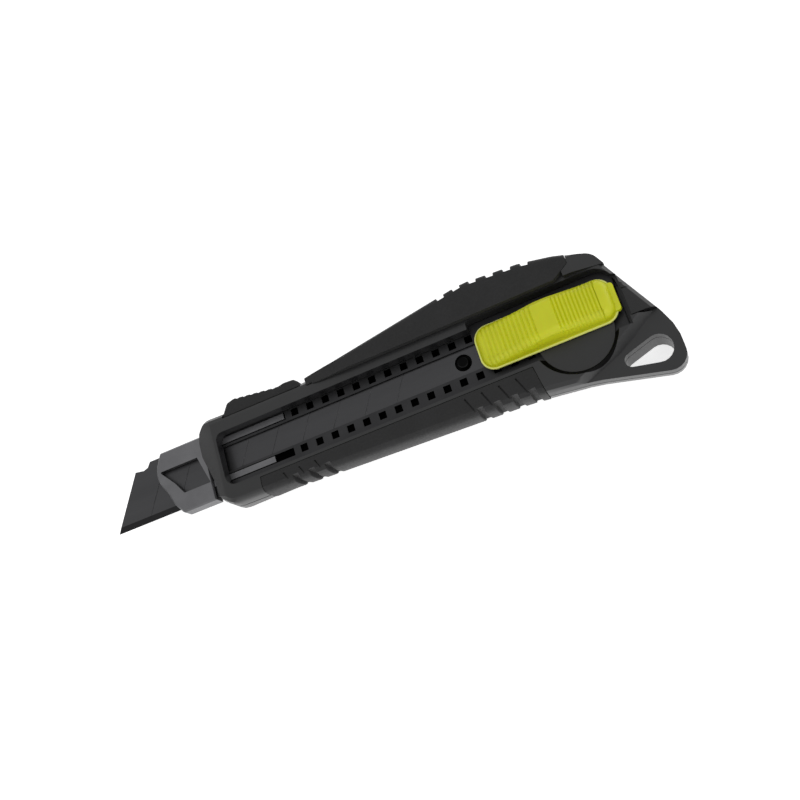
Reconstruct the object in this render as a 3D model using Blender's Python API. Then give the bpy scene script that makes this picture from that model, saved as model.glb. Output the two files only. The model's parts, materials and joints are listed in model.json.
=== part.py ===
"""Snap off knife with an 18 mm blade, an auto-lock slider and soft grips.

Metres, +Z up.  The knife lies on its back: +X runs from the blade to the tail, +Y from the
cutting edge to the spine, and the slider faces up.  While modelling, X = 0 is the first square
hole of the channel, Y = 0 the middle of the blade and Z = 0 the top of the channel's lips.  At
the end everything hangs from one empty that puts the origin under the middle of the knife.
"""

import math

import bmesh
import bpy
from mathutils import Matrix, Vector

# ---------------------------------------------------------------- driving sizes
FIT = 0.0003                      # gap kept between pieces that touch
JOIN = 0.0002                     # depth that two joined shapes share
FAR = 0.020                       # reach of a cutter that goes right through

BLADE_WIDTH = 0.018
BLADE_THICKNESS = 0.0005
BLADE_TIP_X = -0.0639
BLADE_REAR_X = 0.0578
BLADE_REAR_CORNER = (0.004, 0.006)   # the corner cut off the blade's rear end
BLADE_BEVEL = 0.0018              # width of the ground cutting edge
BLADE_BEVEL_DEPTH = 0.42          # share of the thickness ground off each face
SEGMENT_LENGTH = 0.010
SNAP_ANGLE = math.radians(60)
SCORE_WIDTH = 0.00035
SCORE_DEPTH = 0.00012
SCORE_COUNT = 9
FIRST_SCORE_X = -0.05327          # where the first score line meets the cutting edge
BREAK_STEP = [(-0.0489, 0.0), (-0.0500, 0.0015), (-0.0515, 0.0020), (-0.0530, 0.0017)]
BREAK_CORNER = (0.0008, 0.0015)   # the step left at the blade's back where a piece snapped off

BLADE_SIDE_GAP = 0.0003           # blade to channel wall
BLADE_FACE_GAP = 0.00015          # blade to the channel's lips
CARRIER_FACE_GAP = 0.00025        # blade to the carrier below it
CHANNEL_SHEET = 0.0006
CHANNEL_HEIGHT = 0.0043
CHANNEL_FRONT_X = -0.0295
CHANNEL_REAR_X = 0.0975
LIP_GAP_HALF = 0.0038             # half the opening between the two lips
HOLE_SIZE = 0.0022
HOLE_PITCH = 0.005
HOLE_ROW_Y = 0.0057
HOLE_COUNT = 16
SLOT_REAR_X = -0.0032             # rear end of the slots that take the tongues
CHANNEL_PIN_PLACES = (-0.0262, 0.0965)
CHANNEL_PIN_RADIUS = 0.0007
CHANNEL_PIN_DEPTH = 0.0020        # how far a channel pin reaches into the back shell

NOSE_WALL = 0.0011
NOSE_FRONT_X = -0.0468
NOSE_SIDES = (-0.0108, 0.0095)
NOSE_SLOT_GAPS = (0.0003, 0.0001, 0.0004)   # blade to nose: at the edge, the back and the faces
TONGUE_WIDTH = 0.0018
TONGUE_RISE = 0.0001              # the tongues stand this far above and below the lips
TONGUE_ROOT = 0.003
TONGUE_UPPER_REAR_X = -0.0036
TONGUE_LOWER_REAR_X = -0.0094

PIN_X = 0.0515                    # the blade hangs on a pin here
PIN_RADIUS = 0.0018
PIN_SHANK_RADIUS = 0.00126
PIN_TOP_Z = 0.0001
BLADE_HOLE_RADIUS = 0.0025
CARRIER_FRONT_X = 0.040
CARRIER_REAR_X = 0.0955
CARRIER_STEP_X = 0.0590           # behind the blade the carrier is as thick as the channel allows

SLIDER_FRONT_X = 0.0568
SLIDER_REAR_X = 0.0966
SLIDER_HALF_WIDTH = 0.0067
SLIDER_CORNER = 0.0042
SLIDER_BASE_Z = 0.0020
SLIDER_PEAK_X = 0.0777
SLIDER_PEAK_Z = 0.0094
SLIDER_FRONT_Z = 0.0044
SLIDER_REAR_Z = 0.0058
SLIDER_FRONT_CURVE = 1.15         # how much each slope of the top bows
SLIDER_REAR_CURVE = 0.85
SLIDER_WALL = 0.0012
SLIDER_TAB = (0.0007, -0.0045, 0.0040, 0.0013)   # length, two sides and thickness
RIB_DEPTH = 0.00035
FRONT_RIB_PITCH = 0.00135
REAR_RIB_PITCH = 0.00120
RIB_MARGIN = 0.0030               # smooth part of the top before the ribs start

BASE_LOW_Z = 0.0004               # the button base clears the lips
BASE_HIGH_Z = 0.0014
BASE_REAR_GAP = 0.0026
BUTTON_TRAVEL = 0.0010            # the button shifts this far on its base
POST_X = (0.0855, 0.0875)
POST_HALF_WIDTH = 0.0030
POST_TOP_Z = 0.0042
LOCK_DROP = 0.0010                # the lock plate's teeth go down this far into the holes
LOCK_REAR_X = 0.0718
LOCK_FRONT_X = 0.0636
LOCK_SHEET = 0.0006
LOCK_LOW_Z = BASE_HIGH_Z + FIT + LOCK_DROP
LOCK_HIGH_Z = LOCK_LOW_Z + LOCK_SHEET
TOOTH_SIZE = HOLE_SIZE - 2 * FIT
TOOTH_BOTTOM_Z = LOCK_DROP - CHANNEL_SHEET + 0.0002
TOOTH_PLACES = (13 * HOLE_PITCH, 14 * HOLE_PITCH)
SPRING_SHEET = 0.0003
LEAF_ROOT_X = 0.0840
LEAF_LENGTH = 0.0190
LEAF_RISE = 0.0021
LEAF_HALF_WIDTH = 0.0020
COIL_START_X = 0.0878
COIL_LENGTH = 0.0070
COIL_RADIUS = 0.0010
COIL_WIRE_RADIUS = 0.00018
COIL_TURNS = 5
COIL_Z = 0.0030

FACE_Z = 0.0040                   # front face of the hard shells
BACK_Z = -0.0086                  # back face, which the knife rests on
SPLIT_Z = -0.0018                 # where the two shells meet
HUMP_Z = 0.0060                   # front face of the spine grip
HUMP_RAMP = ((-0.0200, 0.0034), (0.0070, 0.0040), (0.0220, 0.0062))   # its front runs out along this
TAIL_Z = 0.0010                   # front face of the thin tail plate
EDGE_RADIUS = 0.0027
SPLIT_RADIUS = 0.0002             # small edge at the line where the shells meet
HUMP_RADIUS = 0.0016
HUMP_FALL = ((0.0880, 0.0061), (0.0965, 0.0036))   # behind the grip the hump falls along this
GRIP_WALL = 0.0020
DRAFT_FRONT_X = -0.026            # it fades in behind the collar from here
DRAFT_BLEND = 0.010
DRAFT_FULL_Y = 0.0065             # the lean starts this far from the middle and is full at twice it
BELLY_SKIN = 0.0014
BELLY_DRAFT = 0.0011              # the belly side leans in this far below the split line

COLLAR_SLOPE = ((-0.0420, -0.0036), (-0.0244, FACE_Z + FIT))
MOUTH_FRONT_X = -0.040
MOUTH_SIDES = (-0.0112, 0.0099)
WINDOW_FRONT_X = -0.0243
WINDOW_UPPER_Y = 0.0070
WINDOW_LOWER_Y = -0.0095
POCKET_FRONT_X = 0.0562           # the window widens here for the slider
POCKET_UPPER_Y = 0.0094
POCKET_REAR_X = 0.0985
POCKET_CORNER = 0.0062

DISH_X = 0.0833
DISH_Y = -0.0054
DISH_RADIUS = 0.0121
DISH_FLOOR_RADIUS = 0.0107
DISH_Z = 0.0017
DISH_WEB_Y = -0.0060              # the dish's floor reaches in under the slider to here

LANYARD_FRONT = (0.0947, -0.0180, 0.0020)   # x, y and radius of the hole's small end
LANYARD_REAR = (0.1022, -0.0177, 0.0039)    # and of its large end

CAP_FRONT_X = 0.0990
CAP_REAR_X = 0.115
CAP_LOW_Y = -0.0071
CAP_HIGH_Y = 0.0060
CAP_LOW_Z = 0.0012
CAP_RELIEF = 0.0002               # the cap's face lies this far below the shell's
CAP_LINES_Y = (0.0006, 0.0022)
CAP_LINE_WIDTH = 0.0005
CAP_LINE_LENGTH = 0.0042

RIDGE_FIRST_X = 0.0546
RIDGE_PITCH = 0.00505
RIDGE_WIDTH = 0.0025
RIDGE_HEIGHT = 0.0014
RIDGE_COUNT = 5

SCREW_RADIUS = 0.0010
SCREW_HEAD_RADIUS = 0.0017
SCREW_HEAD_HEIGHT = 0.0016
SCREW_SINK = 0.0014               # the heads lie this far inside the back face
SCREW_TOP_Z = 0.0004
SCREW_PLACES = [(-0.0215, -0.0116), (0.0440, 0.0125), (0.0830, 0.0122), (0.0780, -0.0140)]
RECESS_LENGTH = 0.0013            # half a cross arm
RECESS_WIDTH = 0.00035
RECESS_DEPTH = 0.0007

BLADE_TOP_Z = -CHANNEL_SHEET - BLADE_FACE_GAP
BLADE_BOTTOM_Z = BLADE_TOP_Z - BLADE_THICKNESS
HALF_BLADE = BLADE_WIDTH / 2
CHANNEL_INNER_Y = HALF_BLADE + BLADE_SIDE_GAP
CHANNEL_OUTER_Y = CHANNEL_INNER_Y + CHANNEL_SHEET
CHANNEL_BOTTOM_Z = -CHANNEL_HEIGHT
CHANNEL_FLOOR_Z = CHANNEL_BOTTOM_Z + CHANNEL_SHEET
CARRIER_TOP_Z = BLADE_BOTTOM_Z - CARRIER_FACE_GAP
CARRIER_BOTTOM_Z = CHANNEL_FLOOR_Z + FIT
NECK_HALF = LIP_GAP_HALF - FIT
BASE_HALF_WIDTH = SLIDER_HALF_WIDTH - SLIDER_WALL - FIT

# Outlines: x, y and the radius of the corner.  They run anticlockwise seen from the front.
HANDLE_OUTLINE = [
    (-0.0272, 0.0131, 0.0042),
    (-0.0302, 0.0101, 0.0030),
    (-0.0314, 0.0047, 0.0040),
    (-0.0284, -0.0071, 0.0060),
    (-0.0285, -0.0112, 0.0050),
    (-0.0245, -0.0147, 0.0045),
    (-0.0066, -0.0149, 0.0300),
    (0.0360, -0.0166, 0.0300),
    (0.0650, -0.0175, 0.0300),
    (0.0840, -0.0198, 0.0300),
    (0.1086, -0.0261, 0.0050),
    (0.1087, -0.0143, 0.0100),
    (0.1063, -0.0080, 0.0100),
    (0.0953, 0.0135, 0.0040),
    (0.0850, 0.0168, 0.0100),
    (0.0760, 0.0187, 0.0150),
    (0.0590, 0.0200, 0.0150),
    (0.0325, 0.0158, 0.0500),
    (0.0150, 0.0131, 0.0500),
    (0.0050, 0.0121, 0.0300),
]
BELLY_START, BELLY_END = 5, 10     # corners of the outline that make the belly side
SPINE_START = 13                  # first corner of the spine side
NOSE_OUTLINE = [
    (-0.0443, NOSE_SIDES[1], 0.0006),
    (-0.0463, 0.0057, 0.0010),
    (NOSE_FRONT_X, 0.0035, 0.0020),
    (-0.0466, 0.0007, 0.0020),
    (-0.0444, -0.0037, 0.0020),
    (-0.0432, -0.0074, 0.0020),
    (-0.0408, NOSE_SIDES[0], 0.0010),
    (CHANNEL_FRONT_X - FIT, NOSE_SIDES[0]),
    (CHANNEL_FRONT_X - FIT, NOSE_SIDES[1]),
]
NOSE_WINDOW = [
    (-0.0456, 0.0037, 0.0003),
    (-0.0432, 0.0008, 0.0010),
    (-0.0415, -0.0013, 0.0010),
    (-0.0392, -0.0051, 0.0003),
    (-0.0303, -0.0051),
    (-0.0328, 0.0037),
]
TAIL_STEP_LOW = [(0.0790, -0.0200), (0.0830, -0.0190), (0.0926, -0.0152), (0.0985, -0.0117),
                 (0.1020, -0.0090), (0.1062, -0.0062), (0.1200, -0.0062), (0.1200, -0.0400),
                 (0.0700, -0.0400)]
TAIL_STEP_HIGH = [(0.0770, -0.0172), (0.0815, -0.0170), (0.0905, -0.0133), (0.0962, -0.0098),
                  (0.0998, -0.0070), (0.1040, -0.0036), (0.1220, -0.0036), (0.1220, -0.0420),
                  (0.0680, -0.0420)]

SPINE_GRIP_FRONT_X = 0.0070
SPINE_GRIP_REAR_X = 0.0880
SPINE_GRIP_TAPER = (0.004, 0.005)   # its lower edge starts and ends this far in from the ends
HUMP_SEAM_Y = 0.0098              # lower edge of the spine grip's front face
THUMB_PAD_FRONT_X = -0.0205
THUMB_PAD_REAR_X = 0.0045
THUMB_PAD_LOW_Y = 0.0112
THUMB_PAD_Z = (-0.0070, 0.0030)
THUMB_PAD_EDGE = 0.0003
THUMB_PAD_TOP = [                 # its upper corners from the rear to the front
    (0.0000, 0.0126, 0.0008),
    (-0.0014, 0.0139, 0.0008),
    (-0.0045, 0.0141, 0.0012),
    (-0.0065, 0.0137, 0.0012),
    (-0.0207, 0.0157, 0.0014),
    (-0.0231, 0.0151, 0.0010),
    (-0.0250, 0.0122, 0.0004),
]
RIPPLE_PITCH = 0.0023
RIPPLE_RADIUS = 0.0009
RIPPLE_DEPTH = 0.00035
RIPPLE_COUNT = 6
RIPPLE_FIRST = 0.0056             # from the pad's front end
BELLY_GRIP_FRONT_X = -0.0165
BELLY_GRIP_REAR_X = 0.0735
BELLY_GRIP_TAPER = (0.003, 0.004)   # its upper edge starts and ends this far in from the ends
BELLY_SEAM_Y = -0.0107
FRONT_GROOVES = (-0.0068, 0.0050, 3)        # first x, pitch and number
REAR_GROOVES = (0.0492, 0.0050, 4)
GROOVE_LEAN = math.radians(67.6)
GROOVE_LENGTH = 0.012
GROOVE_WIDTH = 0.0007
GROOVE_DEPTH = 0.0007
NOTCH_START = 0.0022              # from a groove's inner end to its notch in the side
NOTCH_LENGTH = 0.0022
NOTCH_DEPTH = 0.0017

COLOURS = {
    "hard": ((0.035, 0.036, 0.038, 1), 0.45, 0.0),
    "soft": ((0.022, 0.022, 0.023, 1), 0.8, 0.0),
    "steel_black": ((0.03, 0.03, 0.033, 1), 0.4, 0.8),
    "blade": ((0.045, 0.045, 0.05, 1), 0.35, 0.9),
    "nose": ((0.13, 0.133, 0.14, 1), 0.4, 0.7),
    "lime": ((0.47, 0.50, 0.02, 1), 0.45, 0.0),
    "bright_steel": ((0.5, 0.5, 0.5, 1), 0.3, 1.0),
    "cap": ((0.01, 0.01, 0.011, 1), 0.5, 0.0),
}

frame_empty = None


# ---------------------------------------------------------------- helpers
def clear_scene():
    for old in list(bpy.data.objects):
        bpy.data.objects.remove(old, do_unlink=True)


def make_material(name):
    colour, roughness, metallic = COLOURS[name]
    material = bpy.data.materials.get(name)
    if material is None:
        material = bpy.data.materials.new(name)
        material.use_nodes = True
        shader = material.node_tree.nodes["Principled BSDF"]
        shader.inputs["Base Color"].default_value = colour
        shader.inputs["Roughness"].default_value = roughness
        shader.inputs["Metallic"].default_value = metallic
    return material


def mesh_object(name, points, faces, material=None):
    mesh = bpy.data.meshes.new(name)
    mesh.from_pydata(points, [], faces)
    shape = bmesh.new()
    shape.from_mesh(mesh)
    bmesh.ops.recalc_face_normals(shape, faces=shape.faces)
    shape.to_mesh(mesh)
    shape.free()
    piece = bpy.data.objects.new(name, mesh)
    bpy.context.collection.objects.link(piece)
    piece.parent = frame_empty
    if material:
        mesh.materials.append(make_material(material))
    return piece


def as_tool(piece):
    piece.hide_render = True
    piece.display_type = "WIRE"
    return piece


def boolean(piece, tool, operation="DIFFERENCE"):
    step = piece.modifiers.new(tool.name, "BOOLEAN")
    step.operation = operation
    step.solver = "EXACT"
    step.object = as_tool(tool)
    return piece


def smooth(piece, angle=math.radians(35)):
    piece.data.shade_smooth()
    piece.data.set_sharp_from_angle(angle=angle)
    return piece


def rounded(outline, step=math.radians(18)):
    """Corner points with a radius become arcs of short chords."""
    points = []
    count = len(outline)
    for i in range(count):
        before = Vector(outline[i - 1][:2])
        corner = Vector(outline[i][:2])
        after = Vector(outline[(i + 1) % count][:2])
        radius = outline[i][2] if len(outline[i]) > 2 else 0.0
        to_before = (before - corner).normalized()
        to_after = (after - corner).normalized()
        angle = to_before.angle(to_after)
        turn = math.pi - angle
        if radius <= 0 or turn < 0.01:
            points.append(corner)
            continue
        room = 0.49 * min((before - corner).length, (after - corner).length)
        reach = min(radius / math.tan(angle / 2), room)
        radius = reach * math.tan(angle / 2)
        centre = corner + (to_before + to_after).normalized() * (radius / math.sin(angle / 2))
        first = corner + to_before * reach - centre
        sense = 1 if to_before.x * to_after.y - to_before.y * to_after.x < 0 else -1
        steps = max(1, round(turn / step))
        for k in range(steps + 1):
            spun = Matrix.Rotation(sense * turn * k / steps, 2) @ first
            points.append(centre + spun)
    return points


def inset(points, distance):
    """The same outline, moved inwards by distance."""
    moved = []
    count = len(points)
    for i in range(count):
        ahead = (points[(i + 1) % count] - points[i]).normalized()
        behind = (points[i] - points[i - 1]).normalized()
        normal = Vector((-ahead.y - behind.y, ahead.x + behind.x))
        normal.normalize()
        stretch = normal.dot(Vector((-ahead.y, ahead.x)))
        moved.append(points[i] + normal * (distance / max(stretch, 0.4)))
    return moved


def stack(name, rings, material=None):
    """A closed solid through rings of points, each ring at its own height."""
    count = len(rings[0][0])
    points = [(p.x, p.y, z) for ring, z in rings for p in ring]
    faces = [tuple(range(count - 1, -1, -1))]
    for level in range(len(rings) - 1):
        low = level * count
        for i in range(count):
            j = (i + 1) % count
            faces.append((low + i, low + j, low + count + j, low + count + i))
    top = (len(rings) - 1) * count
    faces.append(tuple(range(top, top + count)))
    return mesh_object(name, points, faces, material)


def prism(name, outline, low, high, material=None):
    points = rounded(outline)
    return stack(name, [(points, low), (points, high)], material)


def drafted(ring, z):
    """The same ring with its belly side leaned in, more so the further it is below the split."""
    share = min(1.0, max(0.0, (SPLIT_Z - z) / (SPLIT_Z - BACK_Z)))
    moved = []
    for point in ring:
        weight = min(1.0, max(0.0, -point.y / DRAFT_FULL_Y - 1.0))
        weight *= min(1.0, max(0.0, (point.x - DRAFT_FRONT_X) / DRAFT_BLEND))
        moved.append(Vector((point.x, point.y + BELLY_DRAFT * share * weight)))
    return moved


def pillow(name, outline, low, high, low_radius, high_radius, material=None, steps=3,
           belly_draft=False):
    """A prism whose two rims are rounded."""
    points = rounded(outline)
    rings = []
    for k in range(steps + 1):
        angle = math.pi / 2 * k / steps
        rings.append((inset(points, low_radius * (1 - math.sin(angle))),
                      low + low_radius * (1 - math.cos(angle))))
    if belly_draft and high > SPLIT_Z:
        rings.append((points, SPLIT_Z))
    for k in range(steps + 1):
        angle = math.pi / 2 * k / steps
        rings.append((inset(points, high_radius * (1 - math.cos(angle))),
                      high - high_radius * (1 - math.sin(angle))))
    if belly_draft:
        rings = [(drafted(ring, z), z) for ring, z in rings]
    return stack(name, rings, material)


def block(name, x, y, z, material=None):
    corners = [(x[0], y[0]), (x[1], y[0]), (x[1], y[1]), (x[0], y[1])]
    return prism(name, corners, z[0], z[1], material)


def round_points(x, y, radius, sides=20):
    ring = []
    for k in range(sides):
        angle = 2 * math.pi * k / sides
        ring.append(Vector((x + radius * math.cos(angle), y + radius * math.sin(angle))))
    return ring


def cylinder(name, x, y, levels, material=None, sides=20):
    """A turned piece that stands on Z: levels are radius and height, from the bottom up."""
    rings = [(round_points(x, y, radius, sides), z) for radius, z in levels]
    return stack(name, rings, material)


def extruded_profile(name, profile, half_width, material=None):
    """A side profile of x and z points, pushed out to both sides of Y = 0."""
    count = len(profile)
    points = [(x, -half_width, z) for x, z in profile] + [(x, half_width, z) for x, z in profile]
    faces = [tuple(range(count)), tuple(range(2 * count - 1, count - 1, -1))]
    for i in range(count):
        j = (i + 1) % count
        faces.append((j, i, count + i, count + j))
    return mesh_object(name, points, faces, material)


def extruded_section(name, section, front, rear, material=None):
    """A cross section of y and z points, pushed along X."""
    count = len(section)
    points = [(x, y, z) for x in (front, rear) for y, z in section]
    faces = [tuple(range(count - 1, -1, -1)), tuple(range(count, 2 * count))]
    for i in range(count):
        j = (i + 1) % count
        faces.append((i, j, count + j, count + i))
    return mesh_object(name, points, faces, material)


def side_y(side, x):
    """The outline's y at x, along one side of the handle."""
    for (x1, y1), (x2, y2) in zip(side, side[1:]):
        if min(x1, x2) <= x <= max(x1, x2):
            return y2 + (y1 - y2) * (x - x2) / (x1 - x2)
    return side[-1][1]


def spine_y(x):
    return side_y([p[:2] for p in HANDLE_OUTLINE[SPINE_START:]] + [HANDLE_OUTLINE[0][:2]], x)


def belly_y(x):
    return side_y([p[:2] for p in HANDLE_OUTLINE[BELLY_START:BELLY_END]], x)


# ---------------------------------------------------------------- zones shared by shells and grips
def grip_zone(extra):
    """Outline of the spine grip's footprint, grown by extra at its ends and lower edge."""
    front = SPINE_GRIP_FRONT_X - extra
    rear = SPINE_GRIP_REAR_X + extra
    low = HUMP_SEAM_Y - extra
    front_taper, rear_taper = SPINE_GRIP_TAPER
    return [
        (front + front_taper, low),
        (rear - rear_taper, low),
        (rear, spine_y(rear) - GRIP_WALL * 1.5),
        (rear, FAR * 2),
        (front, FAR * 2),
        (front, spine_y(front) - GRIP_WALL),
    ]


def spine_core(extra):
    """Region under the spine grip: below a line GRIP_WALL inside the outline."""
    points = [(-FAR * 3, -FAR * 2), (FAR * 6, -FAR * 2)]
    for x, y, radius in HANDLE_OUTLINE[SPINE_START:]:
        points.append((x, y - GRIP_WALL + extra, radius))
    points.append((-FAR * 3, HANDLE_OUTLINE[-1][1] - GRIP_WALL + extra))
    return points


def belly_zone(extra):
    """Outline of the belly grip's footprint, grown by extra."""
    front = BELLY_GRIP_FRONT_X - extra
    rear = BELLY_GRIP_REAR_X + extra
    top = BELLY_SEAM_Y + extra
    front_taper, rear_taper = BELLY_GRIP_TAPER
    return [
        (front, -FAR * 2),
        (rear, -FAR * 2),
        (rear - rear_taper, top),
        (front + front_taper, top),
    ]


def belly_core(extra):
    """Region under the belly grip: above a line GRIP_WALL inside the outline."""
    belly = HANDLE_OUTLINE[BELLY_START:BELLY_END]
    points = [(-FAR * 3, FAR * 2), (-FAR * 3, belly[0][1] + GRIP_WALL - extra)]
    for x, y, radius in belly:
        points.append((x, y + GRIP_WALL - extra, radius))
    points.append((FAR * 6, belly[-1][1] + GRIP_WALL - extra))
    points.append((FAR * 6, FAR * 2))
    return points


def thumb_pad_outline(extra):
    """Outline of the thumb pad, grown by extra."""
    front = THUMB_PAD_FRONT_X - extra
    rear = THUMB_PAD_REAR_X + extra
    low = THUMB_PAD_LOW_Y - extra
    points = [(front, low), (rear, low)]
    for back, y, radius in THUMB_PAD_TOP:
        x = min(max(THUMB_PAD_REAR_X + back, front + extra), rear - extra)
        if x == THUMB_PAD_REAR_X:
            x = rear
        if x == THUMB_PAD_FRONT_X:
            x = front
        points.append((x, y + extra, radius))
    return points


def grip_skin_tool(name, zone, core, core_top):
    """What a grip takes out of the shells: its footprint less the core that it wraps."""
    skin = prism(name, zone, -FAR, FAR)
    boolean(skin, prism(name + "_core", core, -FAR * 2, core_top))
    return skin


# ---------------------------------------------------------------- the hard shells
def lanyard_tool():
    """The teardrop hole for a cord."""
    front_x, front_y, front_radius = LANYARD_FRONT
    rear_x, rear_y, rear_radius = LANYARD_REAR
    length = math.hypot(rear_x - front_x, rear_y - front_y)
    tilt = math.asin((rear_radius - front_radius) / length)
    points = []
    for k in range(9):
        angle = math.pi / 2 + tilt + (math.pi - 2 * tilt) * k / 8
        points.append((front_x + front_radius * math.cos(angle),
                       front_y + front_radius * math.sin(angle)))
    for k in range(13):
        angle = -math.pi / 2 - tilt + (math.pi + 2 * tilt) * k / 12
        points.append((rear_x + rear_radius * math.cos(angle),
                       rear_y + rear_radius * math.sin(angle)))
    return prism("lanyard_tool", points, -FAR, FAR)


def screw_hole_tool(name, x, y, grow):
    """Room for a screw and its sunk head."""
    head_top = BACK_Z + SCREW_SINK + SCREW_HEAD_HEIGHT + grow
    levels = [
        (SCREW_HEAD_RADIUS + grow, BACK_Z - JOIN),
        (SCREW_HEAD_RADIUS + grow, head_top),
        (SCREW_RADIUS + grow, head_top),
        (SCREW_RADIUS + grow, SCREW_TOP_Z + grow),
    ]
    return cylinder(name, x, y, levels, sides=16)


def channel_bay_tool(name, low, high):
    """Room for the channel inside the shells."""
    half = CHANNEL_OUTER_Y + FIT
    return block(name, (CHANNEL_FRONT_X - FIT, CHANNEL_REAR_X + FIT), (-half, half), (low, high))


def mouth_tool(name):
    """Opening in the collar that the nose guide passes through."""
    return block(name, (MOUTH_FRONT_X, CHANNEL_FRONT_X + JOIN), MOUTH_SIDES,
                 (CHANNEL_BOTTOM_Z - FIT, NOSE_WALL + FIT))


def tail_step_tool():
    """Takes the front face down to the tail plate, with a sloping step."""
    low = [Vector(p) for p in TAIL_STEP_LOW]
    high = [Vector(p) for p in TAIL_STEP_HIGH]
    return stack("tail_step_tool", [(low, TAIL_Z), (high, FACE_Z + 0.001)])


def dish_tool():
    """The round dish that gives the thumb room beside the button."""
    slope = (DISH_RADIUS - DISH_FLOOR_RADIUS) / (FACE_Z - DISH_Z)
    rise = FAR / 10
    levels = [(DISH_FLOOR_RADIUS, DISH_Z), (DISH_RADIUS + slope * rise, FACE_Z + rise)]
    return cylinder("dish_tool", DISH_X, DISH_Y, levels, sides=40)


def window_tool():
    """The long opening over the channel, less the web that carries the dish's floor."""
    points = [
        (WINDOW_FRONT_X, WINDOW_UPPER_Y, 0.0022),
        (WINDOW_FRONT_X, WINDOW_LOWER_Y, 0.0030),
        (POCKET_REAR_X, WINDOW_LOWER_Y),
        (POCKET_REAR_X, POCKET_UPPER_Y, POCKET_CORNER),
        (POCKET_FRONT_X, POCKET_UPPER_Y, 0.001),
        (POCKET_FRONT_X, WINDOW_UPPER_Y),
    ]
    window = prism("window_tool", points, -FAR / 10, FAR)
    web = cylinder("dish_web", DISH_X, DISH_Y, [(DISH_FLOOR_RADIUS, -FAR), (DISH_FLOOR_RADIUS, DISH_Z)],
                   sides=40)
    boolean(web, block("web_end", (0, FAR * 6), (DISH_WEB_Y, FAR), (-FAR * 2, FAR)))
    boolean(window, web)
    return window


def collar_slope_tool():
    """Wedge that slopes the collar's front from the window down to the mouth."""
    (front_x, front_z), (rear_x, rear_z) = COLLAR_SLOPE
    points = [(front_x, front_z), (rear_x, rear_z), (rear_x, FAR), (front_x, FAR)]
    return extruded_profile("collar_slope_tool", points, FAR * 2)


def add_fastener_room(shell, side):
    """Holes for the shell screws and the channel pins."""
    for i, (x, y) in enumerate(SCREW_PLACES):
        boolean(shell, screw_hole_tool("%s_screw_room_%d" % (side, i), x, y, FIT))
    for i, x in enumerate(CHANNEL_PIN_PLACES):
        boolean(shell, channel_pin_tool("%s_pin_room_%d" % (side, i), x, FIT))


def pad_room_tool(name):
    """Room for the thumb pad in a shell."""
    low, high = THUMB_PAD_Z
    return prism(name, thumb_pad_outline(FIT), low - FIT, FAR)


def rear_hump():
    """Hard plastic that carries the hump on behind the spine grip, falling to the rear."""
    low = FACE_Z - EDGE_RADIUS + JOIN
    hump = pillow("rear_hump", HANDLE_OUTLINE, low, HUMP_Z, SPLIT_RADIUS / 2, HUMP_RADIUS, steps=4)
    zone = [(SPINE_GRIP_REAR_X - FAR / 10, HUMP_SEAM_Y), (FAR * 6, HUMP_SEAM_Y),
            (FAR * 6, FAR * 2), (SPINE_GRIP_REAR_X - FAR / 10, FAR * 2)]
    boolean(hump, prism("rear_hump_zone", zone, -FAR, FAR), "INTERSECT")
    boolean(hump, prism("rear_hump_gap", grip_zone(FIT * 0.9), -FAR, FAR))
    (front_x, front_z), (rear_x, rear_z) = HUMP_FALL
    above = [(rear_x + FAR, rear_z), (rear_x + FAR, FAR), (front_x, FAR)]
    boolean(hump, extruded_profile("hump_fall", [(front_x, front_z), (rear_x, rear_z)] + above,
                                   FAR * 2))
    return hump


def make_front_shell():
    shell = pillow("front_shell", HANDLE_OUTLINE, SPLIT_Z + FIT / 2, FACE_Z, SPLIT_RADIUS,
                   EDGE_RADIUS, "hard")
    boolean(shell, rear_hump(), "UNION")
    boolean(shell, grip_skin_tool("front_spine_skin", grip_zone(FIT), spine_core(-FIT), FAR))
    boolean(shell, grip_skin_tool("front_belly_skin", belly_zone(FIT), belly_core(-FIT),
                                  FACE_Z - BELLY_SKIN - FIT))
    boolean(shell, pad_room_tool("front_pad_room"))
    boolean(shell, collar_slope_tool())
    boolean(shell, tail_step_tool())
    boolean(shell, dish_tool())
    boolean(shell, window_tool())
    boolean(shell, channel_bay_tool("front_bay", -FAR, FIT))
    boolean(shell, mouth_tool("front_mouth"))
    boolean(shell, lanyard_tool())
    boolean(shell, cap_room_tool("front_cap_room"))
    add_fastener_room(shell, "front")
    return smooth(shell)


def make_back_shell():
    shell = pillow("back_shell", HANDLE_OUTLINE, BACK_Z, SPLIT_Z - FIT / 2, EDGE_RADIUS,
                   SPLIT_RADIUS, "hard", belly_draft=True)
    boolean(shell, grip_skin_tool("back_spine_skin", grip_zone(FIT), spine_core(-FIT), FAR))
    boolean(shell, grip_skin_tool("back_belly_skin", belly_zone(FIT), belly_core(-FIT), FAR))
    boolean(shell, pad_room_tool("back_pad_room"))
    boolean(shell, channel_bay_tool("back_bay", CHANNEL_BOTTOM_Z - FIT, FAR))
    boolean(shell, mouth_tool("back_mouth"))
    boolean(shell, lanyard_tool())
    add_fastener_room(shell, "back")
    return smooth(shell)


# ---------------------------------------------------------------- the soft grips
def ridge_gap_tools():
    """Boxes that cut the gaps between the ridges of the spine grip."""
    tools = []
    half_gap = (RIDGE_PITCH - RIDGE_WIDTH) / 2
    for i in range(RIDGE_COUNT + 1):
        x = RIDGE_FIRST_X + (i - 0.5) * RIDGE_PITCH
        slope = (spine_y(x + half_gap) - spine_y(x - half_gap)) / (2 * half_gap)
        tool = block("ridge_gap_%d" % i, (-half_gap, half_gap), (-RIDGE_HEIGHT, FAR), (-FAR, FAR))
        tool.matrix_local = (Matrix.Translation((x, spine_y(x), 0))
                             @ Matrix.Rotation(math.atan(slope), 4, "Z"))
        tools.append(tool)
    return tools


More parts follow.
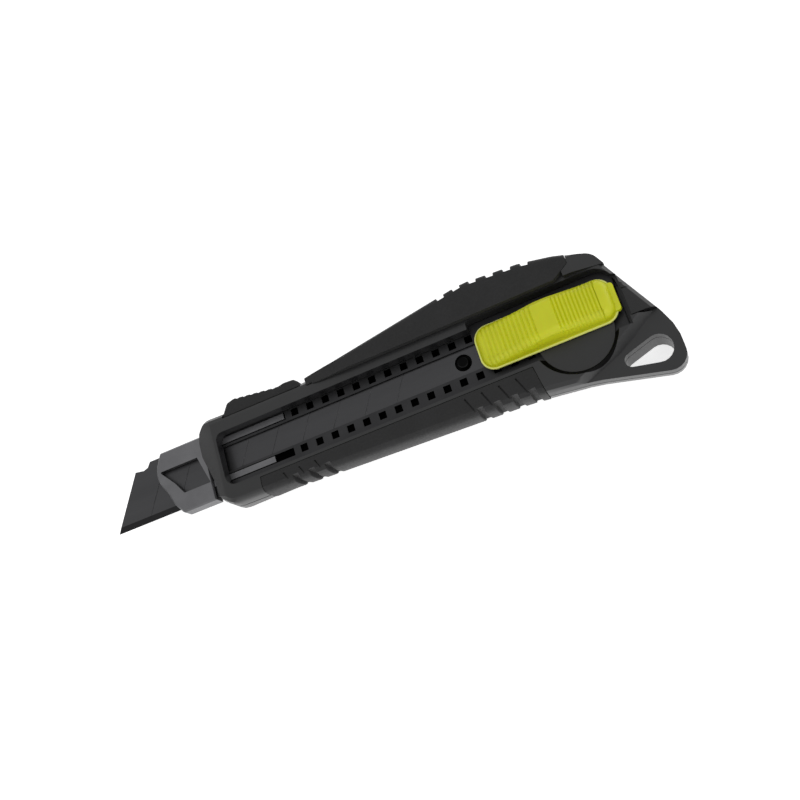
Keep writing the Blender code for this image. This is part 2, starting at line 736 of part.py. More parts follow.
def make_spine_grip():
    grip = pillow("spine_grip", HANDLE_OUTLINE, BACK_Z, HUMP_Z, EDGE_RADIUS, HUMP_RADIUS, "soft",
                  steps=4)
    boolean(grip, prism("spine_zone", grip_zone(0), -FAR, FAR), "INTERSECT")
    boolean(grip, prism("spine_core_tool", spine_core(0), -FAR * 2, FACE_Z + FIT))
    above = [(HUMP_RAMP[-1][0], FAR), (HUMP_RAMP[0][0], FAR)]
    boolean(grip, extruded_profile("hump_ramp", list(HUMP_RAMP) + above, FAR * 2))
    for tool in ridge_gap_tools():
        boolean(grip, tool)
    return smooth(grip)


def make_thumb_pad():
    pad = pillow("thumb_pad", thumb_pad_outline(0), *THUMB_PAD_Z, THUMB_PAD_EDGE, THUMB_PAD_EDGE,
                 "soft", steps=1)
    (rear, rear_y, _), (front, front_y, _) = THUMB_PAD_TOP[3:5]
    for i in range(RIPPLE_COUNT):
        x = THUMB_PAD_FRONT_X + RIPPLE_FIRST + i * RIPPLE_PITCH
        share = (x - THUMB_PAD_REAR_X - rear) / (front - rear)
        y = rear_y + (front_y - rear_y) * share + RIPPLE_RADIUS - RIPPLE_DEPTH
        levels = [(RIPPLE_RADIUS, -FAR), (RIPPLE_RADIUS, FAR)]
        boolean(pad, cylinder("ripple_%d" % i, x, y, levels, sides=12))
    return smooth(pad)


def groove_tools(prefix, first, pitch, number):
    """Diagonal grooves over the belly grip's front face, each ending in a notch in its side."""
    tools = []
    for i in range(number):
        x = first + i * pitch
        line = block("%s_groove_%d" % (prefix, i), (-GROOVE_LENGTH, 0),
                     (-GROOVE_WIDTH / 2, GROOVE_WIDTH / 2), (FACE_Z - GROOVE_DEPTH, FAR))
        line.matrix_local = (Matrix.Translation((x, BELLY_SEAM_Y - 0.001, 0))
                             @ Matrix.Rotation(math.pi - GROOVE_LEAN, 4, "Z"))
        tools.append(line)
        start = x + NOTCH_START
        tools.append(block("%s_notch_%d" % (prefix, i), (start, start + NOTCH_LENGTH),
                           (-FAR * 2, belly_y(start) + NOTCH_DEPTH), (-FAR, FAR)))
    return tools


def make_belly_grip():
    grip = pillow("belly_grip", HANDLE_OUTLINE, BACK_Z, FACE_Z, EDGE_RADIUS, EDGE_RADIUS, "soft",
                  belly_draft=True)
    boolean(grip, prism("belly_zone", belly_zone(0), -FAR, FAR), "INTERSECT")
    boolean(grip, prism("belly_core_tool", belly_core(0), -FAR * 2, FACE_Z - BELLY_SKIN))
    for prefix, places in (("front", FRONT_GROOVES), ("rear", REAR_GROOVES)):
        for tool in groove_tools(prefix, *places):
            boolean(grip, tool)
    return smooth(grip)


# ---------------------------------------------------------------- channel, nose and blade
def lip_hole_tool(name, x, y):
    """A hole through one lip of the channel, between two x and two y."""
    return block(name, x, y, (-CHANNEL_SHEET - JOIN / 2, FAR))


def make_channel():
    """The folded steel channel that guides the blade, with its rows of lock holes."""
    outer = CHANNEL_OUTER_Y
    inner = CHANNEL_INNER_Y
    floor = CHANNEL_FLOOR_Z
    section = [(-outer, CHANNEL_BOTTOM_Z), (outer, CHANNEL_BOTTOM_Z), (outer, 0), (LIP_GAP_HALF, 0),
               (LIP_GAP_HALF, -CHANNEL_SHEET), (inner, -CHANNEL_SHEET), (inner, floor),
               (-inner, floor), (-inner, -CHANNEL_SHEET), (-LIP_GAP_HALF, -CHANNEL_SHEET),
               (-LIP_GAP_HALF, 0), (-outer, 0)]
    channel = extruded_section("blade_channel", section, CHANNEL_FRONT_X, CHANNEL_REAR_X,
                               "steel_black")
    half = HOLE_SIZE / 2
    slot = TONGUE_WIDTH / 2 + FIT
    for row in (-1, 1):
        y = row * HOLE_ROW_Y
        for i in range(HOLE_COUNT):
            x = i * HOLE_PITCH
            boolean(channel, lip_hole_tool("hole_%d_%d" % (row, i), (x - half, x + half),
                                           (y - half, y + half)))
        boolean(channel, lip_hole_tool("slot_%d" % row, (CHANNEL_FRONT_X - JOIN, SLOT_REAR_X),
                                       (y - slot, y + slot)))
    for i, x in enumerate(CHANNEL_PIN_PLACES):
        boolean(channel, channel_pin_tool("channel_pin_room_%d" % i, x, FIT))
    return channel


def channel_pin_tool(name, x, grow):
    """Room for a pin that stops the channel sliding in the back shell."""
    radius = CHANNEL_PIN_RADIUS + grow
    levels = [(radius, CHANNEL_BOTTOM_Z - CHANNEL_PIN_DEPTH - grow),
              (radius, CHANNEL_FLOOR_Z + JOIN + grow)]
    return cylinder(name, x, 0, levels, sides=12)


def make_channel_pins():
    for name, x in zip(("front_channel_pin", "rear_channel_pin"), CHANNEL_PIN_PLACES):
        levels = [(CHANNEL_PIN_RADIUS, CHANNEL_BOTTOM_Z - CHANNEL_PIN_DEPTH),
                  (CHANNEL_PIN_RADIUS, CHANNEL_FLOOR_Z + JOIN / 2)]
        smooth(cylinder(name, x, 0, levels, "bright_steel", sides=12))


def make_nose():
    """The metal mouthpiece that holds the blade close to the cut."""
    nose = pillow("nose_guide", NOSE_OUTLINE, CHANNEL_BOTTOM_Z + CHANNEL_SHEET, NOSE_WALL, 0.0005,
                  0.0004, "nose", steps=1)
    edge_gap, back_gap, face_gap = NOSE_SLOT_GAPS
    boolean(nose, block("nose_slot", (-FAR * 3, 0), (-HALF_BLADE - edge_gap, HALF_BLADE + back_gap),
                        (BLADE_BOTTOM_Z - face_gap, BLADE_TOP_Z + face_gap)))
    boolean(nose, prism("nose_window", NOSE_WINDOW, BLADE_TOP_Z, FAR))
    half = TONGUE_WIDTH / 2
    for row, rear in ((1, TONGUE_UPPER_REAR_X), (-1, TONGUE_LOWER_REAR_X)):
        y = row * HOLE_ROW_Y
        tongue = block("tongue_%d" % row, (CHANNEL_FRONT_X - TONGUE_ROOT, rear), (y - half, y + half),
                       (-CHANNEL_SHEET + TONGUE_RISE, TONGUE_RISE))
        boolean(nose, tongue, "UNION")
    return smooth(nose)


def blade_outline():
    """Blade seen from the front: tip, rear end, and the step where a piece snapped off."""
    corner_x, corner_y = BLADE_REAR_CORNER
    step_x, step_y = BREAK_CORNER
    top_front = BLADE_TIP_X + BLADE_WIDTH / math.tan(SNAP_ANGLE)
    points = [
        (BLADE_TIP_X, -HALF_BLADE),
        (BLADE_REAR_X - corner_x, -HALF_BLADE),
        (BLADE_REAR_X, -HALF_BLADE + corner_y),
        (BLADE_REAR_X, HALF_BLADE),
    ]
    points += [(x, HALF_BLADE - drop) for x, drop in BREAK_STEP]
    points.append((top_front - step_x, HALF_BLADE - step_y))
    return points


def edge_grind_tool(name, sense):
    """Wedge that grinds the cutting edge on one face of the blade."""
    face = BLADE_TOP_Z if sense > 0 else BLADE_BOTTOM_Z
    depth = BLADE_THICKNESS * BLADE_BEVEL_DEPTH
    section = [
        (-HALF_BLADE - JOIN, face - sense * depth),
        (-HALF_BLADE - JOIN, face + sense * 0.001),
        (-HALF_BLADE + BLADE_BEVEL, face + sense * 0.001),
        (-HALF_BLADE + BLADE_BEVEL, face),
    ]
    return extruded_section(name, section, BLADE_TIP_X - FAR, BLADE_REAR_X + FAR)


def make_blade():
    blade = prism("blade", blade_outline(), BLADE_BOTTOM_Z, BLADE_TOP_Z, "blade")
    boolean(blade, edge_grind_tool("upper_grind", 1))
    boolean(blade, edge_grind_tool("lower_grind", -1))
    length = BLADE_WIDTH / math.sin(SNAP_ANGLE)
    for i in range(SCORE_COUNT):
        x = FIRST_SCORE_X + i * SEGMENT_LENGTH
        score = block("score_%d" % i, (-0.001, length + 0.002), (-SCORE_WIDTH / 2, SCORE_WIDTH / 2),
                      (BLADE_TOP_Z - SCORE_DEPTH, FAR))
        score.matrix_local = (Matrix.Translation((x, -HALF_BLADE, 0))
                              @ Matrix.Rotation(SNAP_ANGLE, 4, "Z"))
        boolean(blade, score)
    boolean(blade, cylinder("blade_hole", PIN_X, 0, [(BLADE_HOLE_RADIUS, -FAR),
                                                     (BLADE_HOLE_RADIUS, FAR)]))
    return blade


# ---------------------------------------------------------------- carrier, lock and slider
def make_carrier():
    """The sled inside the channel that carries the blade and, above the lips, the button."""
    half = CHANNEL_INNER_Y - FIT
    carrier = block("blade_carrier", (CARRIER_FRONT_X, CARRIER_REAR_X), (-half, half),
                    (CARRIER_BOTTOM_Z, CARRIER_TOP_Z), "steel_black")
    thick = block("carrier_thick", (CARRIER_STEP_X, CARRIER_REAR_X), (-half, half),
                  (CARRIER_BOTTOM_Z + JOIN, -CHANNEL_SHEET - FIT))
    neck = block("carrier_neck", (CARRIER_STEP_X, CARRIER_REAR_X), (-NECK_HALF, NECK_HALF),
                 (CARRIER_BOTTOM_Z + 2 * JOIN, BASE_LOW_Z - FIT))
    boolean(carrier, thick, "UNION")
    boolean(carrier, neck, "UNION")
    seat = PIN_SHANK_RADIUS + FIT
    boolean(carrier, cylinder("pin_seat", PIN_X, 0, [(seat, -FAR), (seat, FAR)], sides=16))
    return carrier


def make_blade_pin():
    shoulder = CARRIER_TOP_Z + FIT
    levels = [
        (PIN_SHANK_RADIUS, CARRIER_BOTTOM_Z),
        (PIN_SHANK_RADIUS, shoulder),
        (PIN_RADIUS, shoulder),
        (PIN_RADIUS, PIN_TOP_Z - FIT),
        (PIN_RADIUS - FIT, PIN_TOP_Z),
    ]
    return smooth(cylinder("blade_pin", PIN_X, 0, levels, "steel_black", sides=24))


def make_button_base():
    """Black plate that ties the button to the carrier above the lips."""
    front = SLIDER_FRONT_X + SLIDER_WALL + FIT + BUTTON_TRAVEL
    half = BASE_HALF_WIDTH
    base = block("button_base", (front, CARRIER_REAR_X - BASE_REAR_GAP), (-half, half),
                 (BASE_LOW_Z, BASE_HIGH_Z), "cap")
    room = TOOTH_SIZE / 2 + FIT
    for row in (-1, 1):
        side = sorted((row * (HOLE_ROW_Y - room), row * FAR))
        for i, x in enumerate(TOOTH_PLACES):
            boolean(base, block("tooth_room_%d_%d" % (row, i), (x - room, x + room), side,
                                (-FAR, FAR)))
    post = block("spring_post", POST_X, (-POST_HALF_WIDTH, POST_HALF_WIDTH),
                 (BASE_HIGH_Z - JOIN, POST_TOP_Z))
    boolean(base, post, "UNION")
    return base


def make_lock_plate():
    """Plate whose teeth drop through the base into the channel's holes."""
    half = BASE_HALF_WIDTH
    plate = block("lock_plate", (LOCK_FRONT_X, LOCK_REAR_X), (-half, half),
                  (LOCK_LOW_Z, LOCK_HIGH_Z), "bright_steel")
    size = TOOTH_SIZE / 2
    for row in (-1, 1):
        side = sorted((row * (HOLE_ROW_Y - size), row * min(HOLE_ROW_Y + size, half)))
        for i, x in enumerate(TOOTH_PLACES):
            tooth = block("tooth_%d_%d" % (row, i), (x - size, x + size), side,
                          (TOOTH_BOTTOM_Z, LOCK_HIGH_Z - JOIN))
            boolean(plate, tooth, "UNION")
    return plate


def make_lock_spring():
    """Leaf spring: a root on the base that arches up to a tongue above the lock plate."""
    lower = []
    for k in range(9):
        share = k / 8
        rise = LEAF_RISE * math.sin(math.pi / 2 * min(1, share * 1.6))
        lower.append((LEAF_ROOT_X - LEAF_LENGTH * share, BASE_HIGH_Z + FIT + rise))
    upper = [(x, z + SPRING_SHEET) for x, z in reversed(lower)]
    return extruded_profile("lock_spring", lower + upper, LEAF_HALF_WIDTH, "bright_steel")


def make_return_spring():
    """Small coil between the post of the base and the rear wall of the button."""
    curve = bpy.data.curves.new("return_spring", "CURVE")
    curve.dimensions = "3D"
    line = curve.splines.new("POLY")
    steps = COIL_TURNS * 8
    line.points.add(steps)
    for k, place in enumerate(line.points):
        angle = 2 * math.pi * k / 8
        place.co = (COIL_START_X + COIL_LENGTH * k / steps, COIL_RADIUS * math.cos(angle),
                    COIL_Z + COIL_RADIUS * math.sin(angle), 1)
    curve.bevel_depth = COIL_WIRE_RADIUS
    curve.bevel_resolution = 1
    curve.use_fill_caps = True
    curve.materials.append(make_material("bright_steel"))
    spring = bpy.data.objects.new("return_spring", curve)
    bpy.context.collection.objects.link(spring)
    spring.parent = frame_empty
    return spring


def slider_top(x):
    """Height of the slider's top at x, without its ribs."""
    if x <= SLIDER_PEAK_X:
        share = (x - SLIDER_FRONT_X) / (SLIDER_PEAK_X - SLIDER_FRONT_X)
        return SLIDER_FRONT_Z + (SLIDER_PEAK_Z - SLIDER_FRONT_Z) * share ** SLIDER_FRONT_CURVE
    share = (x - SLIDER_PEAK_X) / (SLIDER_REAR_X - SLIDER_PEAK_X)
    return SLIDER_PEAK_Z + (SLIDER_REAR_Z - SLIDER_PEAK_Z) * share ** SLIDER_REAR_CURVE


def rib_points(start, stop, pitch):
    """Ribs along the slider's top from start down to stop, both in x."""
    points = []
    x = start
    while x > stop:
        points.append((x, slider_top(x)))
        points.append((x - pitch / 2, slider_top(x) - RIB_DEPTH))
        x -= pitch
    points.append((x, slider_top(x)))
    return points


def slider_profile():
    """Side view of the slider: its base, then the ribbed top from the rear to the front."""
    rear_top = slider_top(SLIDER_REAR_X)
    front_top = slider_top(SLIDER_FRONT_X)
    points = [
        (SLIDER_FRONT_X, SLIDER_BASE_Z),
        (SLIDER_REAR_X, SLIDER_BASE_Z),
        (SLIDER_REAR_X, rear_top - 0.0012),
        (SLIDER_REAR_X - 0.0010, rear_top - 0.0002),
    ]
    points += rib_points(SLIDER_REAR_X - RIB_MARGIN, SLIDER_PEAK_X + RIB_MARGIN, REAR_RIB_PITCH)
    for x in (SLIDER_PEAK_X + 0.0010, SLIDER_PEAK_X - 0.0008):
        points.append((x, slider_top(x)))
    points += rib_points(SLIDER_PEAK_X - RIB_MARGIN, SLIDER_FRONT_X + RIB_MARGIN, FRONT_RIB_PITCH)
    points.append((SLIDER_FRONT_X + 0.0008, front_top - 0.0001))
    points.append((SLIDER_FRONT_X, front_top - 0.0009))
    return points


def slider_outline():
    """The slider seen from the front."""
    half = SLIDER_HALF_WIDTH
    places = [(SLIDER_FRONT_X, -half), (SLIDER_REAR_X, -half), (SLIDER_REAR_X, half),
              (SLIDER_FRONT_X, half)]
    return [(x, y, SLIDER_CORNER) for x, y in places]


def slider_tab():
    """Thin tab at the slider's rear end."""
    length, low, high, thickness = SLIDER_TAB
    front = SLIDER_REAR_X - length
    rear = SLIDER_REAR_X + length
    outline = [(front, low), (rear, low, 0.001), (rear, high, 0.001), (front, high)]
    base = SLIDER_BASE_Z + JOIN / 2
    return prism("slider_tab", outline, base, base + thickness)


def slider_room():
    """The hollow under the slider."""
    front = SLIDER_FRONT_X + SLIDER_WALL
    rear = SLIDER_REAR_X - SLIDER_WALL
    profile = [(front, -FAR), (rear, -FAR)]
    for x in (rear, SLIDER_PEAK_X, front):
        profile.append((x, slider_top(x) - RIB_DEPTH - SLIDER_WALL))
    return extruded_profile("slider_room", profile, SLIDER_HALF_WIDTH - SLIDER_WALL)


def make_slider_button():
    button = extruded_profile("slider_button", slider_profile(), SLIDER_HALF_WIDTH + 0.001, "lime")
    boolean(button, prism("slider_outline", slider_outline(), -FAR, FAR), "INTERSECT")
    boolean(button, slider_tab(), "UNION")
    boolean(button, slider_room())
    return smooth(button, math.radians(25))


# ---------------------------------------------------------------- end cap and fasteners
def cap_outline(extra):
    front = CAP_FRONT_X - extra
    low = CAP_LOW_Y - extra
    high = CAP_HIGH_Y + extra
    return [(front, low), (CAP_REAR_X, low), (CAP_REAR_X, high), (front, high)]


def cap_room_tool(name):
    """Room for the end cap, open to the pocket all along the cap's front."""
    room = prism(name, cap_outline(FIT), CAP_LOW_Z - FIT, FAR)
    low, high = CAP_LOW_Y - FIT, CAP_HIGH_Y + FIT
    mouth = block(name + "_mouth", (POCKET_REAR_X - 0.001, CAP_FRONT_X), (low + JOIN, high - JOIN),
                  (CAP_LOW_Z - FIT + JOIN, FAR))
    boolean(room, mouth, "UNION")
    return room


def make_end_cap():
    cap = pillow("end_cap", HANDLE_OUTLINE, CHANNEL_BOTTOM_Z, FACE_Z - CAP_RELIEF, 0.001,
                 EDGE_RADIUS, "cap")
    boolean(cap, prism("cap_zone", cap_outline(0), CAP_LOW_Z, FAR), "INTERSECT")
    for i, y in enumerate(CAP_LINES_Y):
        boolean(cap, block("cap_line_%d" % i, (CAP_FRONT_X - JOIN, CAP_FRONT_X + CAP_LINE_LENGTH),
                           (y, y + CAP_LINE_WIDTH), (FACE_Z - 0.0008, FAR)))
    return smooth(cap)


def make_screws():
    low = BACK_Z + SCREW_SINK
    head_top = low + SCREW_HEAD_HEIGHT
    levels = [(SCREW_HEAD_RADIUS, low), (SCREW_HEAD_RADIUS, head_top), (SCREW_RADIUS, head_top),
              (SCREW_RADIUS, SCREW_TOP_Z)]
    for i, (x, y) in enumerate(SCREW_PLACES):
        screw = cylinder("shell_screw_%d" % (i + 1), x, y, levels, "bright_steel", sides=16)
        for k, (a, b) in enumerate(((RECESS_LENGTH, RECESS_WIDTH), (RECESS_WIDTH, RECESS_LENGTH))):
            boolean(screw, block("screw_%d_recess_%d" % (i, k), (x - a, x + a), (y - b, y + b),
                                 (-FAR, low + RECESS_DEPTH)))
        smooth(screw)


# ---------------------------------------------------------------- placing
def place_origin():
    """Put the origin under the middle of the knife, on the plane that it rests on."""
    bpy.context.view_layer.update()
    graph = bpy.context.evaluated_depsgraph_get()
    lows = [1e9] * 3
    highs = [-1e9] * 3
    for piece in bpy.context.scene.objects:
        if piece.hide_render or piece.type not in {"MESH", "CURVE"}:
            continue
        shape = piece.evaluated_get(graph)
        mesh = shape.to_mesh()
        for vertex in mesh.vertices:
            spot = piece.matrix_world @ vertex.co
            for axis in range(3):
                lows[axis] = min(lows[axis], spot[axis])
                highs[axis] = max(highs[axis], spot[axis])
        shape.to_mesh_clear()
    frame_empty.location = (-(lows[0] + highs[0]) / 2, -(lows[1] + highs[1]) / 2, -lows[2])
    bpy.context.view_layer.update()
    print("origin shift", tuple(frame_empty.location))


def main():
    global frame_empty
    clear_scene()
    frame_empty = bpy.data.objects.new("knife_frame", None)
    bpy.context.collection.objects.link(frame_empty)
    make_front_shell()
    make_back_shell()
    make_spine_grip()
    make_thumb_pad()
    make_belly_grip()
    make_channel()
    make_channel_pins()
    make_nose()
    make_blade()
    make_carrier()
    make_blade_pin()
    make_button_base()
    make_lock_plate()
    make_lock_spring()
    make_return_spring()
    make_slider_button()
    make_end_cap()
    make_screws()
    place_origin()


main()
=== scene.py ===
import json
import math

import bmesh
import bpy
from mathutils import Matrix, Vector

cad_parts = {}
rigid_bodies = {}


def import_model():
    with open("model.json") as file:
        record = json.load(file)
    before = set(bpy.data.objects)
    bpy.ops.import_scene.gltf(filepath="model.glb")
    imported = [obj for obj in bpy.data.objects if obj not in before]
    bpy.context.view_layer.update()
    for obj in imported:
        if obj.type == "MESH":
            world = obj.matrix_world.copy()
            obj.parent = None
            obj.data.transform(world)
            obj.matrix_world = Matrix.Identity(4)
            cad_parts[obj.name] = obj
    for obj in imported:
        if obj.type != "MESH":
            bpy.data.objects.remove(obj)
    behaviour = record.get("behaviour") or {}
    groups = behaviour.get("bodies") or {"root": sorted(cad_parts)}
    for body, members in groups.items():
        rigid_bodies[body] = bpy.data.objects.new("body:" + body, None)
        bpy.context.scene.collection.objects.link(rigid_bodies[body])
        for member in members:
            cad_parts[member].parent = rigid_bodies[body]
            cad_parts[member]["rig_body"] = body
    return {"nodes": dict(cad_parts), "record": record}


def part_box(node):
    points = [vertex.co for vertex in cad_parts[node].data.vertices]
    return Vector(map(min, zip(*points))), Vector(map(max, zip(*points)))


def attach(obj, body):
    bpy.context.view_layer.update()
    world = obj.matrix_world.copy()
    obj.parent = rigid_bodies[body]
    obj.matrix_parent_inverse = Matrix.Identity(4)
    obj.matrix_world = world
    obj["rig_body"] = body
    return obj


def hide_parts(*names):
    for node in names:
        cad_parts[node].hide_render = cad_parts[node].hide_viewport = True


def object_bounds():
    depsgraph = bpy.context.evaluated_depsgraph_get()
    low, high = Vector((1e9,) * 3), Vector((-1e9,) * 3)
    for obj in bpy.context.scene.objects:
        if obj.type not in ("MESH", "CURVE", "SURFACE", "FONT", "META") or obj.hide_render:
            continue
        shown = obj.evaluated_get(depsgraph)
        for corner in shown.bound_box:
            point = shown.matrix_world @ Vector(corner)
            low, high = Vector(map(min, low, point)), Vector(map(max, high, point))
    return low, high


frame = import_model()

# %% [markdown]
# # A snap off knife, dressed piece by piece
# The frame above holds every piece of the knife as plain solids in their true places: +X runs
# from the blade to the tail, +Y from the cutting edge to the spine and +Z up out of the face
# with the slider.  This lesson turns those solids into mouldings, rubber and steel.
#
# A plain solid gives itself away by knife-sharp edges and one flat colour.  So each piece here
# gets eased edges, and a finish made of nodes with its own grain, gloss and wear.

bpy.context.view_layer.update()
cad_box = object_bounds()
NODES = frame["nodes"]
BODY_OF = {name: piece["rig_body"] for name, piece in NODES.items()}
SLOT_OF = {row["node"]: row["material_slot"] for row in frame["record"]["subparts"]}
print("size in mm:", [round(1000 * (b - a), 1) for a, b in zip(*cad_box)])

# %% [markdown]
# ## Where things are
# All the sizes below are in metres.  The solids' own boxes say where each piece sits, so the
# pieces that are built new here start from them and not from copied numbers.

# %% Boxes that the new pieces start from
button_low, button_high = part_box("slider_button")
channel_low, channel_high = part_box("blade_channel")
blade_low, blade_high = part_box("blade")
MID_Y = (blade_low.y + blade_high.y) / 2
print("button %.1f x %.1f mm" % (1000 * (button_high.x - button_low.x),
                                 1000 * (button_high.y - button_low.y)))

# %% [markdown]
# ## Finishes
# Every finish is a small tree of nodes round one Principled shader.  `finish` starts a tree and
# hands back two short tools: `add` makes a node and sets its sockets by name, and `link` joins
# two sockets.  That keeps each finish down to a few lines that say what they do.


# %% Start a finish
def finish(name):
    """A new material, its shader, a function that adds a node and one that links two sockets."""
    material = bpy.data.materials.new(name)
    material.use_nodes = True
    tree = material.node_tree
    shader = tree.nodes["Principled BSDF"]

    def add(kind, **values):
        node = tree.nodes.new(kind)
        for key, value in values.items():
            if key in node.inputs:
                node.inputs[key].default_value = value
            else:
                setattr(node, key, value)
        return node

    return material, shader, add, tree.links.new


print("finishes start from the Principled shader")

# %% [markdown]
# ### Grain, colour and bump
# Texture coordinates are the object's own, which are metres here, so a noise scale of 1000
# gives grains of about a millimetre.  A noise stays near its middle, so the helpers spread the
# stretch from 0.3 to 0.7 over the whole range that is asked for.  Three things vary on each
# finish: colour, roughness and a fine bump whose height is a real height.

# %% Grain, colour and bump
NOISE_RANGE = (0.3, 0.7)          # most of a noise lies between these


def grain(add, link, scale, detail, stretch=(1, 1, 1)):
    """A noise in metres, stretched along the axes, as a value from 0 to 1."""
    place = add("ShaderNodeTexCoord")
    spread = add("ShaderNodeMapping")
    spread.inputs["Scale"].default_value = stretch
    noise = add("ShaderNodeTexNoise", Scale=scale, Detail=detail)
    link(place.outputs["Object"], spread.inputs["Vector"])
    link(spread.outputs["Vector"], noise.inputs["Vector"])
    return noise.outputs["Fac"]


def cloudy(add, link, noise, dark, pale):
    """A colour that drifts from dark to pale with a noise."""
    colours = add("ShaderNodeValToRGB")
    for element, place, colour in zip(colours.color_ramp.elements, NOISE_RANGE, (dark, pale)):
        element.position = place
        element.color = (*colour, 1)
    link(noise, colours.inputs["Fac"])
    return colours.outputs["Color"]


def spread_value(add, link, source, low, high, source_range=NOISE_RANGE):
    """A value that drifts from low to high as its source goes through source_range."""
    scale = add("ShaderNodeMapRange")
    scale.inputs["From Min"].default_value = source_range[0]
    scale.inputs["From Max"].default_value = source_range[1]
    scale.inputs["To Min"].default_value = low
    scale.inputs["To Max"].default_value = high
    link(source, scale.inputs["Value"])
    return scale.outputs["Result"]


def bump(add, link, shader, source, height, strength):
    """Bump of a real height in metres."""
    node = add("ShaderNodeBump")
    node.inputs["Strength"].default_value = strength
    node.inputs["Distance"].default_value = height
    link(source, node.inputs["Height"])
    link(node.outputs["Normal"], shader.inputs["Normal"])


print("noise is spread from", NOISE_RANGE)

# %% [markdown]
# ### Marks in places that can be measured
# Wear and dirt lie in places that follow from the object's shape: on a rim, under a lip, along
# a cutting edge.  A mark could be painted on an image, but then it would slip when a size
# changes.  Here a mark is a mask: the object's own x, y and z are compared with two limits,
# and the result, 1 or 0, blends a second colour in.


# %% Masks and blends
def object_axes(add, link):
    """The object's own x, y and z as three separate values."""
    place = add("ShaderNodeTexCoord")
    axes = add("ShaderNodeSeparateXYZ")
    link(place.outputs["Object"], axes.inputs[0])
    return axes.outputs


def product(add, link, one, other):
    node = add("ShaderNodeMath", operation="MULTIPLY")
    link(one, node.inputs[0])
    link(other, node.inputs[1])
    return node.outputs[0]


def between(add, link, value, low, high):
    """1 where a value lies between low and high, else 0."""
    over = add("ShaderNodeMath", operation="GREATER_THAN")
    under = add("ShaderNodeMath", operation="LESS_THAN")
    over.inputs[1].default_value = low
    under.inputs[1].default_value = high
    link(value, over.inputs[0])
    link(value, under.inputs[0])
    return product(add, link, over.outputs[0], under.outputs[0])


def blended(add, link, share, colour, other):
    """A colour with another one mixed in, as far as share says from 0 to 1."""
    mix = add("ShaderNodeMix", data_type="RGBA")
    mix.inputs["B"].default_value = (*other, 1)
    link(share, mix.inputs["Factor"])
    link(colour, mix.inputs["A"])
    return mix.outputs["Result"]


print("masks ready")

# %% [markdown]
# ### Worn edges
# Paint, coating and moulded grain go first where a piece is handled: on its rounded edges.
# The edges are rounded further down, and each new face there gets a value called "rounded".
# The finish reads that value and lets a patchy noise decide how much of the edge has worn.

# %% Worn edges
WEAR_PATCHES = 350                # noise scale, for patches of about three millimetres
WEAR_RANGE = (0.35, 0.65)


def rounded_faces(add):
    """The value that faces on a rounded edge carry."""
    edge = add("ShaderNodeAttribute", attribute_type="GEOMETRY", attribute_name="rounded")
    return edge.outputs["Fac"]


def worn_edges(add, link, colour, worn, amount):
    """Mixes a worn colour in on the rounded edges."""
    patches = spread_value(add, link, grain(add, link, WEAR_PATCHES, 3), 0.0, amount, WEAR_RANGE)
    torn = product(add, link, rounded_faces(add), patches)
    return blended(add, link, torn, colour, worn)


print("wear patches of about %.0f mm" % (1000 / WEAR_PATCHES))

# %% [markdown]
# ### The dish's wall in painted shade
# The thumb reaches the slider over a shallow round dish in the shell.  Its wall is only some
# two millimetres high and faces sideways, so it sees little but the dark slider and lies in
# shade.  A real dish shows it as a black sickle, and here that shade is painted on.  The mask is a
# ring round the dish's middle, kept to the height of the wall, so that the faces beside it stay
# as they are.

# %% Mask for the painted shade on the dish's wall
DISH_MIDDLE = Vector((button_low.x + 0.0265, MID_Y - 0.0054, 0))
DISH_WALL = (0.0106, 0.0121)      # from the dish's middle to the foot and the top of its wall
DISH_FLOOR_Z = channel_high.z + 0.0017
WALL_HEIGHTS = (DISH_FLOOR_Z + 0.00005, DISH_FLOOR_Z + 0.0022)


def dish_wall_painted_shade_mask(add, link):
    """1 on the ring of wall round the dish, where shade is painted, else 0."""
    axes = object_axes(add, link)
    flat = add("ShaderNodeCombineXYZ")
    gap = add("ShaderNodeVectorMath", operation="DISTANCE")
    gap.inputs[1].default_value = DISH_MIDDLE
    link(axes["X"], flat.inputs[0])
    link(axes["Y"], flat.inputs[1])
    link(flat.outputs[0], gap.inputs[0])
    return product(add, link, between(add, link, gap.outputs["Value"], *DISH_WALL),
                   between(add, link, axes["Z"], *WALL_HEIGHTS))


print("dish wall %.1f mm wide" % (1000 * (DISH_WALL[1] - DISH_WALL[0])))

# %% [markdown]
# ### Hard charcoal plastic
# The shells are moulded in glass-filled nylon.  The mould is spark eroded, so the surface has a
# satin grain about a tenth of a millimetre across, and shows faint clouds where the melt
# flowed.  Edges that rub in a toolbox go slightly lighter.

# %% Hard plastic
NYLON_DARK = (0.0125, 0.0127, 0.0133)
NYLON_PALE = (0.0165, 0.0168, 0.0175)
NYLON_WORN = (0.045, 0.045, 0.047)
# painted shade for the dish's wall: nearly black
DISH_WALL_PAINTED_SHADE = (0.0008, 0.0008, 0.0008)


def hard_plastic():
    material, shader, add, link = finish("charcoal_nylon")
    colour = cloudy(add, link, grain(add, link, 90, 4), NYLON_DARK, NYLON_PALE)
    colour = worn_edges(add, link, colour, NYLON_WORN, 0.35)
    # painted shade: on the dish's wall the colour goes nearly black and the specular drops
    wall = dish_wall_painted_shade_mask(add, link)
    link(blended(add, link, wall, colour, DISH_WALL_PAINTED_SHADE), shader.inputs["Base Color"])
    shine = spread_value(add, link, wall, 0.5, 0.06, (0.0, 1.0))
    link(shine, shader.inputs["Specular IOR Level"])
    link(spread_value(add, link, grain(add, link, 2600, 2), 0.30, 0.40), shader.inputs["Roughness"])
    bump(add, link, shader, grain(add, link, 7000, 2), 0.000012, 0.6)
    shader.inputs["IOR"].default_value = 1.53
    return material


HARD = hard_plastic()
print("hard plastic:", len(HARD.node_tree.nodes), "nodes")

# %% [markdown]
# ### Soft rubber
# The grips are thermoplastic rubber moulded over the shells.  It is blacker and much duller than
# the nylon, with a velvety bloom at grazing angles, so a little sheen goes on the shader.

